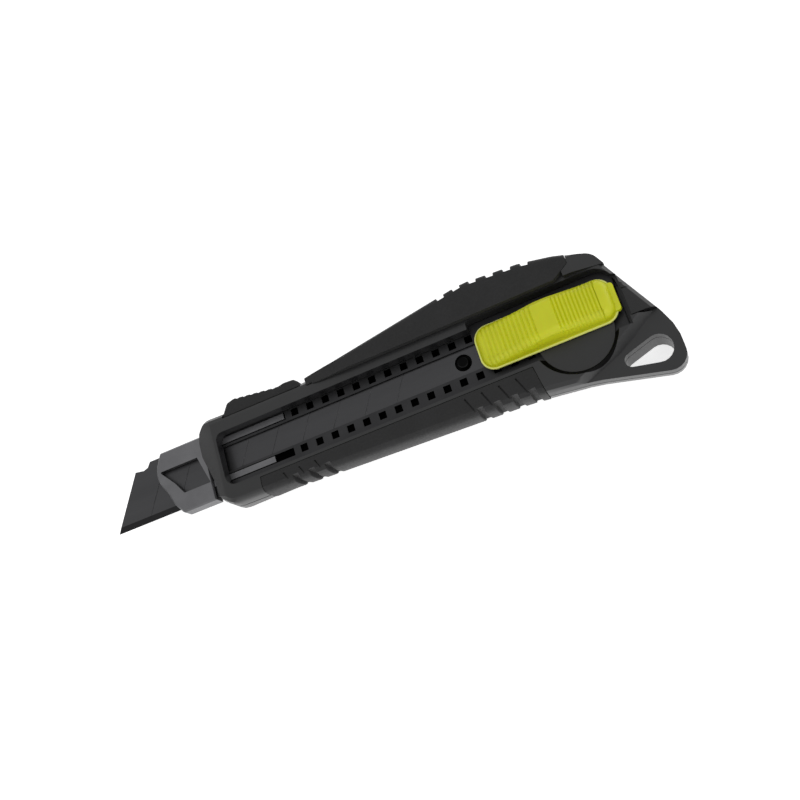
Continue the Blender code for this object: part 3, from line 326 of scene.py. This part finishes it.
# %% Soft rubber
RUBBER_DARK = (0.0100, 0.0100, 0.0104)
RUBBER_PALE = (0.0135, 0.0135, 0.0140)
RUBBER_WORN = (0.035, 0.035, 0.036)


def soft_rubber():
    material, shader, add, link = finish("soft_grip_rubber")
    colour = cloudy(add, link, grain(add, link, 120, 4), RUBBER_DARK, RUBBER_PALE)
    link(worn_edges(add, link, colour, RUBBER_WORN, 0.3), shader.inputs["Base Color"])
    link(spread_value(add, link, grain(add, link, 1800, 3), 0.56, 0.72), shader.inputs["Roughness"])
    shader.inputs["Specular IOR Level"].default_value = 0.38
    bump(add, link, shader, grain(add, link, 4200, 3), 0.00002, 0.7)
    shader.inputs["Sheen Weight"].default_value = 0.06
    shader.inputs["Sheen Roughness"].default_value = 0.5
    return material


SOFT = soft_rubber()
print("soft rubber:", len(SOFT.node_tree.nodes), "nodes")

# %% [markdown]
# ### Painted shade on the blade
# The blade slides under the channel's two folded lips, which hold the two rows of holes.  Hardly
# any light gets in under the lips and through the holes, so two strips of the blade under the rows
# are painted as good as black: painted shade.  They are marks on the blade and slide out with it.
# The cutting edge is a narrow ground bevel that shows darker than the flat, and that shade is
# painted on as a darker colour of its own.

# %% Masks for the blade
# painted shade in the two strips under the lips: nearly black
PAINTED_SHADE_UNDER_LIPS = (0.0006, 0.0006, 0.0006)
PAINTED_SHADE_FROM_MIDDLE = (0.0040, 0.0075)
# painted shade on the ground edge, darker than the flat
GROUND_EDGE_PAINTED_SHADE = (0.030, 0.030, 0.031)
GROUND_EDGE = (blade_low.y - 0.001, blade_low.y + 0.0018)


def painted_shade_strips_mask(add, link):
    """1 on the two strips of the blade that lie under the rows of holes at rest, where shade is
    painted.
    """
    axes = object_axes(add, link)
    shifted = add("ShaderNodeMath", operation="SUBTRACT")
    away = add("ShaderNodeMath", operation="ABSOLUTE")
    shifted.inputs[1].default_value = MID_Y
    link(axes["Y"], shifted.inputs[0])
    link(shifted.outputs[0], away.inputs[0])
    return product(add, link, between(add, link, away.outputs[0], *PAINTED_SHADE_FROM_MIDDLE),
                   between(add, link, axes["X"], channel_low.x, channel_high.x))


def blade_painted_shade(add, link, colour):
    """The blade's colour with its two strips of painted shade and its ground edge in painted shade.
    """
    colour = blended(add, link, painted_shade_strips_mask(add, link), colour, PAINTED_SHADE_UNDER_LIPS)
    on_edge = between(add, link, object_axes(add, link)["Y"], *GROUND_EDGE)
    return blended(add, link, on_edge, colour, GROUND_EDGE_PAINTED_SHADE)


print("ground edge %.1f mm wide" % (1000 * (GROUND_EDGE[1] - blade_low.y)))

# %% [markdown]
# ### Blackened and bare metals
# The channel and carrier are folded steel with a black phosphate coat; the blade is carbon steel
# with a black oxide and a fine lengthwise grind; the nose guide is bead blasted.  All are metal
# on the shader, and only their dark base colour makes them black.  Each is given by how dark
# and how pale its coat drifts, how rough it is, and the metal that shows where it has worn.

# %% Metals
GRIND_STRETCH = (0.06, 1, 1)      # grain drawn out along X by the grinding wheel


def greyish(value, tint):
    """A grey with a little more blue in it."""
    return (value, value, value * tint)


def dark_metal(name, dark, pale, rough, worn, ground=False, marks=None):
    """A metal with a coat: a ground one has its grain drawn out along X."""
    material, shader, add, link = finish(name)
    stretch = GRIND_STRETCH if ground else (1, 1, 1)
    clouds = grain(add, link, 160, 4, stretch)
    colour = cloudy(add, link, clouds, greyish(dark, 1.04), greyish(pale, 1.04))
    colour = worn_edges(add, link, colour, greyish(worn, 1.02), 0.6)
    if marks:
        colour = marks(add, link, colour)
    link(colour, shader.inputs["Base Color"])
    fine = grain(add, link, 5200 if ground else 3600, 3, stretch)
    link(spread_value(add, link, fine, *rough), shader.inputs["Roughness"])
    bump(add, link, shader, fine, 0.000006, 0.5)
    shader.inputs["Metallic"].default_value = 1.0
    return material


CHANNEL_BLACK = dark_metal("phosphated_channel", 0.046, 0.056, rough=(0.36, 0.50), worn=0.12)
CARRIER_BLACK = dark_metal("black_zinc", 0.004, 0.006, rough=(0.40, 0.52), worn=0.03)
# the blade carries painted shade under the lips and along its ground edge
BLADE_BLACK = dark_metal("black_oxide_blade", 0.074, 0.084, rough=(0.30, 0.42), worn=0.25,
                         ground=True, marks=blade_painted_shade)
NOSE_GREY = dark_metal("blasted_nose_metal", 0.165, 0.200, rough=(0.40, 0.54), worn=0.28)
SPRING_BRIGHT = dark_metal("plated_steel", 0.48, 0.58, rough=(0.2, 0.32), worn=0.7, ground=True)
print("five metals")

# %% [markdown]
# ### Lime slider plastic
# The slider is the only bright piece, a lime polypropylene with a soft gloss.  A touch of
# subsurface keeps its ribs from looking chalky.  The thin rim round its foot is thin enough to
# glow, and that glow is painted: its faces carry the "rounded" value too and blend towards a
# paler lime.

# %% Lime plastic
LIME_DARK = (0.575, 0.605, 0.004)
LIME_PALE = (0.620, 0.650, 0.006)
# painted glow: a paler lime for the thin rim round the slider's foot
LIME_PAINTED_GLOW = (0.80, 0.82, 0.22)


def lime_plastic():
    material, shader, add, link = finish("lime_slider_plastic")
    colour = cloudy(add, link, grain(add, link, 140, 3), LIME_DARK, LIME_PALE)
    # painted glow: faces that carry "rounded" blend towards the paler lime
    link(blended(add, link, rounded_faces(add), colour, LIME_PAINTED_GLOW), shader.inputs["Base Color"])
    link(spread_value(add, link, grain(add, link, 2400, 2), 0.38, 0.50), shader.inputs["Roughness"])
    bump(add, link, shader, grain(add, link, 6500, 2), 0.00001, 0.5)
    shader.inputs["Subsurface Weight"].default_value = 0.06
    shader.inputs["Subsurface Scale"].default_value = 0.0006
    return material


LIME = lime_plastic()
print("lime plastic:", len(LIME.node_tree.nodes), "nodes")

# %% [markdown]
# ### Black acetal
# The end cap and the button's base have to slide and click, which acetal does well.  It comes
# out of the mould smoother than the nylon, so it is blacker and a little glossier.

# %% Black acetal
ACETAL_DARK = (0.0050, 0.0050, 0.0052)
ACETAL_PALE = (0.0070, 0.0070, 0.0073)
ACETAL_WORN = (0.03, 0.03, 0.03)


def black_acetal():
    material, shader, add, link = finish("black_acetal")
    colour = cloudy(add, link, grain(add, link, 150, 3), ACETAL_DARK, ACETAL_PALE)
    link(worn_edges(add, link, colour, ACETAL_WORN, 0.3), shader.inputs["Base Color"])
    link(spread_value(add, link, grain(add, link, 2400, 2), 0.26, 0.36), shader.inputs["Roughness"])
    bump(add, link, shader, grain(add, link, 5200, 2), 0.000008, 0.4)
    return material


ACETAL = black_acetal()
print("black acetal:", len(ACETAL.node_tree.nodes), "nodes")

# %% [markdown]
# ### Which piece gets which finish
# The record gives each piece a slot, such as "soft_grip".  One table from slots to finishes is
# enough to dress every piece, and the lesson never has to name a piece to colour it.

# %% Finishes by slot
FINISH_OF_SLOT = {
    "hard_plastic": HARD, "soft_grip": SOFT, "black_channel": CHANNEL_BLACK,
    "black_carrier": CARRIER_BLACK, "nose_metal": NOSE_GREY, "black_blade": BLADE_BLACK,
    "lime_plastic": LIME, "black_plastic": ACETAL, "bright_steel": SPRING_BRIGHT,
}
print("slots with a finish:", sorted(FINISH_OF_SLOT))

# %% [markdown]
# ## Pieces in place of the solids
# A shown piece rides on the body of the solid that it stands for, so that it moves with the
# same joint, and takes over its slot.  Smooth shading stops at edges that turn by more than
# about 35 degrees, which is what keeps a flat face flat beside a rounded one.

# %% New pieces
SMOOTH_TURN = 35                  # degrees


def shade(mesh, turn=SMOOTH_TURN):
    mesh.shade_smooth()
    mesh.set_sharp_from_angle(angle=math.radians(turn))


def new_piece(name, node, mesh):
    """A shown piece that stands for one node and rides on the same body."""
    piece = bpy.data.objects.new(name, mesh)
    bpy.context.scene.collection.objects.link(piece)
    mesh.materials.clear()
    mesh.materials.append(FINISH_OF_SLOT[SLOT_OF[node]])
    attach(piece, BODY_OF[node])
    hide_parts(node)
    return piece


print("bodies:", sorted(set(BODY_OF.values())))

# %% [markdown]
# ### Easing the edges
# A moulded or folded edge is never sharp: it has a radius of a few tenths of a millimetre, and
# that radius is what catches the light.  `eased` copies a solid, joins its triangles into whole
# faces and bevels every edge that turns sharply.  A bevel modifier could do that too, but only
# the direct way tells which faces are new, and those take the "rounded" value for the wear.
#
# Rubber is moulded onto the shell and closes up on it, so there is no gap at its seam.  The
# solids leave one, as separate pieces must, and the soft copies swell by half of it.

# %% Tools for easing
HOLED_PIECES = ("nose_guide", "blade")   # their triangles stay: a face with a hole can't be joined
SEAM_SWELL = 0.00014              # about half of the gap between two solids
WELD_GAP = 0.0000015
FLAT_TURN = math.radians(0.6)
SHARP_TURN = math.radians(30)
BEVEL_PROFILE = 0.6               # a little fuller than a quarter circle


def sharp_edges(shape):
    return [edge for edge in shape.edges
            if len(edge.link_faces) == 2 and edge.calc_face_angle(0.0) > SHARP_TURN]


def swell(shape, distance):
    """Moves every vertex out along its normal."""
    shape.normal_update()
    for vertex in shape.verts:
        vertex.co += vertex.normal * distance


def eased(node, width):
    """The solid with its sharp edges rounded, and a soft piece swelled into its seams."""
    shape = bmesh.new()
    shape.from_mesh(NODES[node].data)
    rounded = shape.faces.layers.float.new("rounded")
    bmesh.ops.remove_doubles(shape, verts=shape.verts, dist=WELD_GAP)
    if node not in HOLED_PIECES:
        bmesh.ops.dissolve_limit(shape, angle_limit=FLAT_TURN, verts=shape.verts, edges=shape.edges)
    made = bmesh.ops.bevel(shape, geom=sharp_edges(shape), offset=width, offset_type="OFFSET",
                           segments=2, profile=BEVEL_PROFILE, affect="EDGES", clamp_overlap=True)
    for face in made["faces"]:
        face[rounded] = 1.0
    if SLOT_OF[node] == "soft_grip":
        swell(shape, SEAM_SWELL)
    mesh = bpy.data.meshes.new(node + "_eased")
    shape.to_mesh(mesh)
    shape.free()
    shade(mesh)
    piece = new_piece(node + "_eased", node, mesh)
    weight = piece.modifiers.new("even_shading", "WEIGHTED_NORMAL")
    weight.keep_sharp = True
    return piece


print("soft pieces swell by %.2f mm" % (1000 * SEAM_SWELL))

# %% [markdown]
# The width of each bevel follows from how the piece is made: the two big rubber grips are
# rounder than the nylon, folded sheet has a tight radius, and the blade only loses its burr.

# %% Eased copies of the solids
EASED = {
    "front_shell": 0.00022, "back_shell": 0.00022, "spine_grip": 0.0003, "thumb_pad": 0.0002,
    "belly_grip": 0.00025, "blade_channel": 0.0001, "nose_guide": 0.00015, "end_cap": 0.00018,
    "blade_carrier": 0.00012, "button_base": 0.00012, "blade": 0.00003, "blade_pin": 0.00015,
    "lock_plate": 0.0001, "lock_spring": 0.00006,
}
for node, width in EASED.items():
    piece = eased(node, width)
    print(node, len(piece.data.polygons), "faces")

# %% [markdown]
# ### Pieces that keep their solid
# The coil spring, the channel's two pins and the four screws are small turned or wound pieces,
# round already.  Their solids are right, so they only take a finish.  The slider's solid isn't
# among them, since the next part builds the slider anew.

# %% Finishes on the solids that stay
staying = [name for name, piece in NODES.items()
           if not piece.hide_render and name != "slider_button"]
for name in staying:
    mesh = NODES[name].data
    for i in range(len(mesh.materials)):
        mesh.materials[i] = FINISH_OF_SLOT[SLOT_OF[name]]
print("solids that stay:", staying)

# %% [markdown]
# ## The slider
# The slider is what the thumb works: a ramp with a peak, ribbed on both slopes, with a thin rim
# round its foot.  Sculpting or a subdivided cage would round the ribs away, so it is built as
# rings that climb round a rounded rectangle: the foot, the rim, the wall, a rounded shoulder,
# and then rows across the top whose height follows the ribs.

# %% The slider's own sizes
SLIDER_TAB = 0.0007               # how far its tab stands out behind
CORNER = 0.0042                   # corner radius seen from above
WALL = 0.0012                     # thickness of the moulding
foot_front = button_low.x
foot_rear = button_high.x - SLIDER_TAB
half_width = (button_high.y - button_low.y) / 2
slider_mid = (button_high.y + button_low.y) / 2
peak_x = foot_front + 0.0209
FOOT_Z = button_low.z
PEAK_Z = button_high.z
print("slider %.1f mm long, peak %.1f mm over its foot" % (1000 * (foot_rear - foot_front),
                                                          1000 * (PEAK_Z - FOOT_Z)))

# %% [markdown]
# ### The ramp's line
# Seen from the side, the top climbs from a low front edge to the peak and falls less far to the
# rear.  Each slope follows a power of the share of the way: an exponent a little off 1 gives a
# slope that is almost straight, with a slight hollow.  The peak is then lowered by a small
# parabola, since a thumb would find a true point uncomfortable.

# %% The ramp's line
FRONT_HEIGHT = 0.0024             # of the top over the foot, at the two ends
REAR_HEIGHT = 0.0038
FRONT_HOLLOW = 1.12
REAR_HOLLOW = 0.88
PEAK_SOFTENING = 0.00045
SOFT_REACH = 0.0030


def ramp_height(x):
    """Top of the slider without its ribs."""
    if x <= peak_x:
        share = max(0.0, (x - foot_front) / (peak_x - foot_front))
        height = FOOT_Z + FRONT_HEIGHT + (PEAK_Z - FOOT_Z - FRONT_HEIGHT) * share ** FRONT_HOLLOW
    else:
        share = min(1.0, (x - peak_x) / (foot_rear - peak_x))
        height = FOOT_Z + REAR_HEIGHT + (PEAK_Z - FOOT_Z - REAR_HEIGHT) * (1 - share ** REAR_HOLLOW)
    nearness = max(0.0, 1 - abs(x - peak_x) / SOFT_REACH)
    return height - PEAK_SOFTENING * nearness * nearness


print("peak after softening: %.2f mm" % (1000 * (ramp_height(peak_x) - FOOT_Z)))

# %% [markdown]
# ### The ribs
# Two runs of ribs let the thumb push and pull.  Between ribs lies a groove, made from a cosine
# raised to a power above 1, so that the groove is narrow and the rib's top stays broad, the way
# a mould maker would cut it with a small round tool.

# %% The ribs
RIB = 0.00042                     # depth of the groove beside a rib
GROOVE_NARROWING = 2.2
RIB_RUNS = (                      # start, end and pitch
    (foot_front + 0.0020, foot_front + 0.0178, 0.00135),
    (peak_x + 0.0026, foot_rear - 0.0042, 0.00105),
)


def rib_depth(x):
    """How deep the groove beside a rib is at x."""
    for start, end, pitch in RIB_RUNS:
        if start < x < end:
            turn = 2 * math.pi * (x - start) / pitch
            return RIB * (0.5 - 0.5 * math.cos(turn)) ** GROOVE_NARROWING
    return 0.0


print("ribs:", [math.ceil((end - start) / pitch) for start, end, pitch in RIB_RUNS])

# %% [markdown]
# ### The outline and its rounded ends
# `half_at` gives half the width at any x for a rounded rectangle that has shrunk by an inset,
# so one function serves every ring.  `end_dip` rounds the top down at both ends along a
# flattened quarter of a circle.

# %% Outline and rounded ends
END_ROUNDS = ((foot_front, 0.0018), (foot_rear, 0.0024))   # place and reach
END_DROP = 0.42                   # drop at the very end, as a share of the reach
SMALLEST_RADIUS = 0.0002


def half_at(x, inset):
    """Half width at x of the slider's outline, shrunk by the inset."""
    full = half_width - inset
    radius = max(CORNER - inset, SMALLEST_RADIUS)
    from_end = min(x - foot_front - inset, foot_rear - inset - x)
    if from_end >= radius:
        return full
    along = radius - max(from_end, 0.0)
    return full - radius + math.sqrt(max(radius * radius - along * along, 0.0))


def end_dip(x):
    """How far the top has dropped at x, near the front and rear ends."""
    dip = 0.0
    for end, reach in END_ROUNDS:
        gap = abs(x - end)
        if gap < reach:
            dip = max(dip, reach * END_DROP * (1 - math.sqrt(max(0.0, 1 - (1 - gap / reach) ** 2))))
    return dip


print("ends drop by", [round(1000 * end_dip(end), 2) for end, reach in END_ROUNDS], "mm")

# %% [markdown]
# ### Rim and shoulder
# The lowest rings draw the rim in section: along the foot, up its outer face, over a small
# round and back in to the wall.  Above them the side leans in along a quarter of an ellipse
# until it meets the top.  The grooves fade out on the way down, as they do on the real moulding.

# %% Rings of the rim and the shoulder
RIM_PROFILE = (                   # inset and height over the foot
    (WALL, 0.0), (0.00008, 0.0), (0.0, 0.00010), (0.0, 0.00055),
    (0.00010, 0.00066), (0.00042, 0.00070), (0.00052, 0.00082),
)
# painted glow: the rim rings listed below get the paler lime
PAINTED_GLOW_LEVELS = (2, 3, 4)            # the rings of faces that show the paler lime
RIM_PAINTED_GLOW = 0.9
SHOULDER = 0.0026                 # how far in the side has curved when it meets the top
SHOULDER_INSET = 0.0006           # where it starts, in from the rim's outer face
SHOULDER_RINGS = 12
WALL_FOOT = 0.0010                # where the side starts to curve, above the foot


def groove_share(rise):
    """How much of a groove is left: nothing at the wall's foot and all of it near the top."""
    return min(1.0, 0.3 + 1.2 * rise) * min(1.0, 2.5 * rise)


def shoulder_height(x, rise):
    """Height of one shoulder ring at x: rise goes from 0 at the wall's foot to 1 on top."""
    groove = rib_depth(x) * groove_share(rise)
    height = FOOT_Z + WALL_FOOT + (ramp_height(x) - FOOT_Z - WALL_FOOT) * rise - groove
    if height > FOOT_Z + WALL_FOOT:
        height -= end_dip(x)
    return max(height, FOOT_Z)


def slider_rings():
    """Rings as (inset, height function), from the foot's inner edge up to the top."""
    rings = [(inset, lambda x, level=level: FOOT_Z + level) for inset, level in RIM_PROFILE]
    for k in range(SHOULDER_RINGS):
        angle = math.pi / 2 * k / (SHOULDER_RINGS - 1)
        inset = SHOULDER_INSET + SHOULDER * (1 - math.cos(angle))
        rings.append((inset, lambda x, rise=math.sin(angle): shoulder_height(x, rise)))
    return rings


def roof_height(x):
    """The underside of the top, which stays clear of the deepest groove."""
    return max(ramp_height(x) - RIB - WALL - end_dip(x), FOOT_Z + 0.0004)


print(len(slider_rings()), "rings")

# %% [markdown]
# ### Joining the rings
# Each ring has the same number of slices from front to rear, so neighbouring rings join with
# plain quads.  Slices are close enough to draw every groove, and crowd towards the two ends,
# where the corners turn.

# %% Build the slider
SLICES = 420
NEAR_ENDS = [0.001 * 1.6 ** k for k in range(9)]
PLACES = [i / SLICES for i in range(SLICES + 1)] + NEAR_ENDS + [1 - place for place in NEAR_ENDS]
PLACES = sorted(set(round(place, 5) for place in PLACES))


def two_rows(shape, inset, height):
    """One ring as two rows of vertices from front to rear, on the -Y and on the +Y side."""
    rows = []
    for side in (-1, 1):
        row = []
        for place in PLACES:
            x = foot_front + inset + place * (foot_rear - foot_front - 2 * inset)
            row.append(shape.verts.new((x, slider_mid + side * half_at(x, inset), height(x))))
        rows.append(row)
    return rows


def strip(shape, low, high):
    """Quads between two rows."""
    return [shape.faces.new((low[i], low[i + 1], high[i + 1], high[i])) for i in range(len(low) - 1)]


def join_rings(shape, a, b):
    """Quads all the way round between two rings."""
    front, rear = (a[0][0], b[0][0], b[1][0], a[1][0]), (a[0][-1], a[1][-1], b[1][-1], b[0][-1])
    return (strip(shape, a[0], b[0]) + strip(shape, b[1], a[1])
            + [shape.faces.new(front), shape.faces.new(rear)])


# the rim's rings carry the painted glow's value in the "rounded" layer
def build_slider():
    shape = bmesh.new()
    rim = shape.faces.layers.float.new("rounded")
    rings = [two_rows(shape, inset, height) for inset, height in slider_rings()]
    for level, (a, b) in enumerate(zip(rings, rings[1:])):
        for face in join_rings(shape, a, b):
            face[rim] = RIM_PAINTED_GLOW if level in PAINTED_GLOW_LEVELS else 0.0
    strip(shape, rings[-1][0], rings[-1][1])
    roof = two_rows(shape, WALL, roof_height)
    join_rings(shape, roof, rings[0])
    strip(shape, roof[1], roof[0])
    bmesh.ops.recalc_face_normals(shape, faces=shape.faces)
    mesh = bpy.data.meshes.new("slider")
    shape.to_mesh(mesh)
    shape.free()
    shade(mesh, 40)
    return new_piece("ribbed_slider", "slider_button", mesh)


slider = build_slider()
print("slider:", len(slider.data.polygons), "faces")

# %% [markdown]
# ### The slider's tab
# The thin tab behind the slider stops it against the pocket's end.  It is a small plate with
# round corners, moulded in one with the slider.

# %% The slider's tab
ARC_STEPS = 6                     # along each round corner
TAB_HALVES = (0.0045, 0.0040)     # to the -Y and to the +Y side of the slider's middle
TAB_HEIGHTS = (0.0001, 0.0014)    # over the foot
TAB_CORNER = 0.0009
TAB_RIM = 0.0003
TAB_OVERLAP = 0.0020              # how far it reaches in under the slider's end


def corner_ring(shape, x, y, level, radius, inset):
    """Vertices round a rectangle of x and y ranges, with arcs that have shrunk by the inset."""
    points = []
    reach = radius - inset
    middles = ((x[1] - radius, y[0] + radius), (x[1] - radius, y[1] - radius),
               (x[0] + radius, y[1] - radius), (x[0] + radius, y[0] + radius))
    for quarter, (middle_x, middle_y) in enumerate(middles, -1):
        for step in range(ARC_STEPS + 1):
            angle = math.radians(90 * (quarter + step / ARC_STEPS))
            points.append(shape.verts.new((middle_x + reach * math.cos(angle),
                                           middle_y + reach * math.sin(angle), level)))
    return points


def build_tab():
    x = (foot_rear - TAB_OVERLAP, button_high.x)
    y = (slider_mid - TAB_HALVES[0], slider_mid + TAB_HALVES[1])
    low, high = FOOT_Z + TAB_HEIGHTS[0], FOOT_Z + TAB_HEIGHTS[1]
    profile = ((0, low), (0, high - TAB_RIM), (TAB_RIM * 0.3, high - TAB_RIM * 0.3), (TAB_RIM, high))
    shape = bmesh.new()
    rings = [corner_ring(shape, x, y, level, TAB_CORNER, inset) for inset, level in profile]
    shape.faces.new(list(reversed(rings[0])))
    shape.faces.new(rings[-1])
    for lower, upper in zip(rings, rings[1:]):
        for i in range(len(lower)):
            j = (i + 1) % len(lower)
            shape.faces.new((lower[i], lower[j], upper[j], upper[i]))
    mesh = bpy.data.meshes.new("slider_tab")
    shape.to_mesh(mesh)
    shape.free()
    shade(mesh)
    mesh.materials.append(LIME)
    piece = bpy.data.objects.new("slider_tab", mesh)
    bpy.context.scene.collection.objects.link(piece)
    return piece


tab = build_tab()
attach(tab, "button")
print("tab reaches x = %.1f mm" % (1000 * button_high.x))

# %% [markdown]
# ## Floor, light and camera
# The knife lies on a plain pale floor.  In a studio such a floor is lit on its own, until it is
# as bright as the background and the object's shadow almost fades away.  A self-lit floor does
# the same with one number, and adds no lamp that black plastic would mirror.

# %% Floor
FLOOR_HALF = 3.0
FLOOR_GAP = 0.0002                # just below the knife
FLOOR_GLOW = 0.70


def make_floor():
    mesh = bpy.data.meshes.new("floor")
    level = cad_box[0].z - FLOOR_GAP
    corners = ((-1, -1), (1, -1), (1, 1), (-1, 1))
    mesh.from_pydata([(sx * FLOOR_HALF, sy * FLOOR_HALF, level) for sx, sy in corners], [],
                     [(0, 1, 2, 3)])
    floor = bpy.data.objects.new("floor", mesh)
    bpy.context.scene.collection.objects.link(floor)
    material, shader, add, link = finish("pale_floor")
    speckle = grain(add, link, 40, 3)
    colour = cloudy(add, link, speckle, (0.86, 0.86, 0.86), (0.90, 0.90, 0.90))
    link(colour, shader.inputs["Base Color"])
    link(spread_value(add, link, speckle, 0.75, 0.85), shader.inputs["Roughness"])
    shader.inputs["Specular IOR Level"].default_value = 0.1
    shader.inputs["Emission Color"].default_value = (1.0, 1.0, 1.0, 1)
    shader.inputs["Emission Strength"].default_value = FLOOR_GLOW
    mesh.materials.append(material)
    return floor


floor = make_floor()
print("floor at z = %.1f mm" % (1000 * floor.data.vertices[0].co.z))

# %% [markdown]
# Black plastic shows almost nothing but reflections, so the room matters more than the lamps.
# A white surround fills every glossy edge evenly.  One soft lamp stands halfway up on the
# belly's side, where the camera doesn't see its mirror image, and gives the faces a slight
# slope of light.

# %% Room and lamp
ROOM_STRENGTH = 0.70
LAMP_PLACE = Vector((0.45, -0.60, 0.75))
LAMP_SIZE = 0.6
LAMP_POWER = 1.6


def make_room():
    world = bpy.data.worlds.new("white_room")
    world.use_nodes = True
    background = world.node_tree.nodes["Background"]
    background.inputs["Color"].default_value = (1.0, 1.0, 1.0, 1)
    background.inputs["Strength"].default_value = ROOM_STRENGTH
    bpy.context.scene.world = world


def make_lamp():
    """A square lamp that looks at the knife's middle, which is at the origin."""
    light = bpy.data.lights.new("near_soft_box", "AREA")
    light.shape = "SQUARE"
    light.size = LAMP_SIZE
    light.energy = LAMP_POWER
    lamp = bpy.data.objects.new("near_soft_box", light)
    bpy.context.scene.collection.objects.link(lamp)
    lamp.location = LAMP_PLACE
    lamp.rotation_euler = (-LAMP_PLACE).to_track_quat("-Z", "Y").to_euler()


make_room()
make_lamp()
bpy.context.scene.view_settings.view_transform = "Standard"
print("lamp %.2f m away" % LAMP_PLACE.length)

# %% [markdown]
# The camera looks down steeply from the belly's side and a little from the tail, rolled so that
# the knife runs from the lower left to the upper right.  Both its right and its aim are written
# out, because the roll matters as much as the aim, and its up follows from them.

# %% Camera
camera_data = bpy.data.cameras.new("studio_camera")
camera_data.lens = 50.0
camera_data.sensor_width = 36.0
camera_data.clip_start = 0.01
camera = bpy.data.objects.new("studio_camera", camera_data)
bpy.context.scene.collection.objects.link(camera)
CAMERA_PLACE = Vector((0.07716, -0.10897, 0.29415))
CAMERA_RIGHT = Vector((0.90314, -0.28242, -0.32339)).normalized()
CAMERA_AIM = Vector((-0.21877, 0.34539, -0.91260)).normalized()
camera_up = CAMERA_RIGHT.cross(CAMERA_AIM).normalized()
camera_turn = Matrix((CAMERA_RIGHT, camera_up, -CAMERA_AIM)).transposed()
camera.matrix_world = Matrix.Translation(CAMERA_PLACE) @ camera_turn.to_4x4()
bpy.context.scene.camera = camera
print("camera %.0f mm from the knife's middle" % (1000 * CAMERA_PLACE.length))

# %% [markdown]
# ## Sizes
# The dressed knife must be as big as its solids; here the solids' box is printed.

# %% Print the solids' sizes
bpy.context.view_layer.update()
print("solids ", [round(1000 * (b - a), 1) for a, b in zip(*cad_box)])
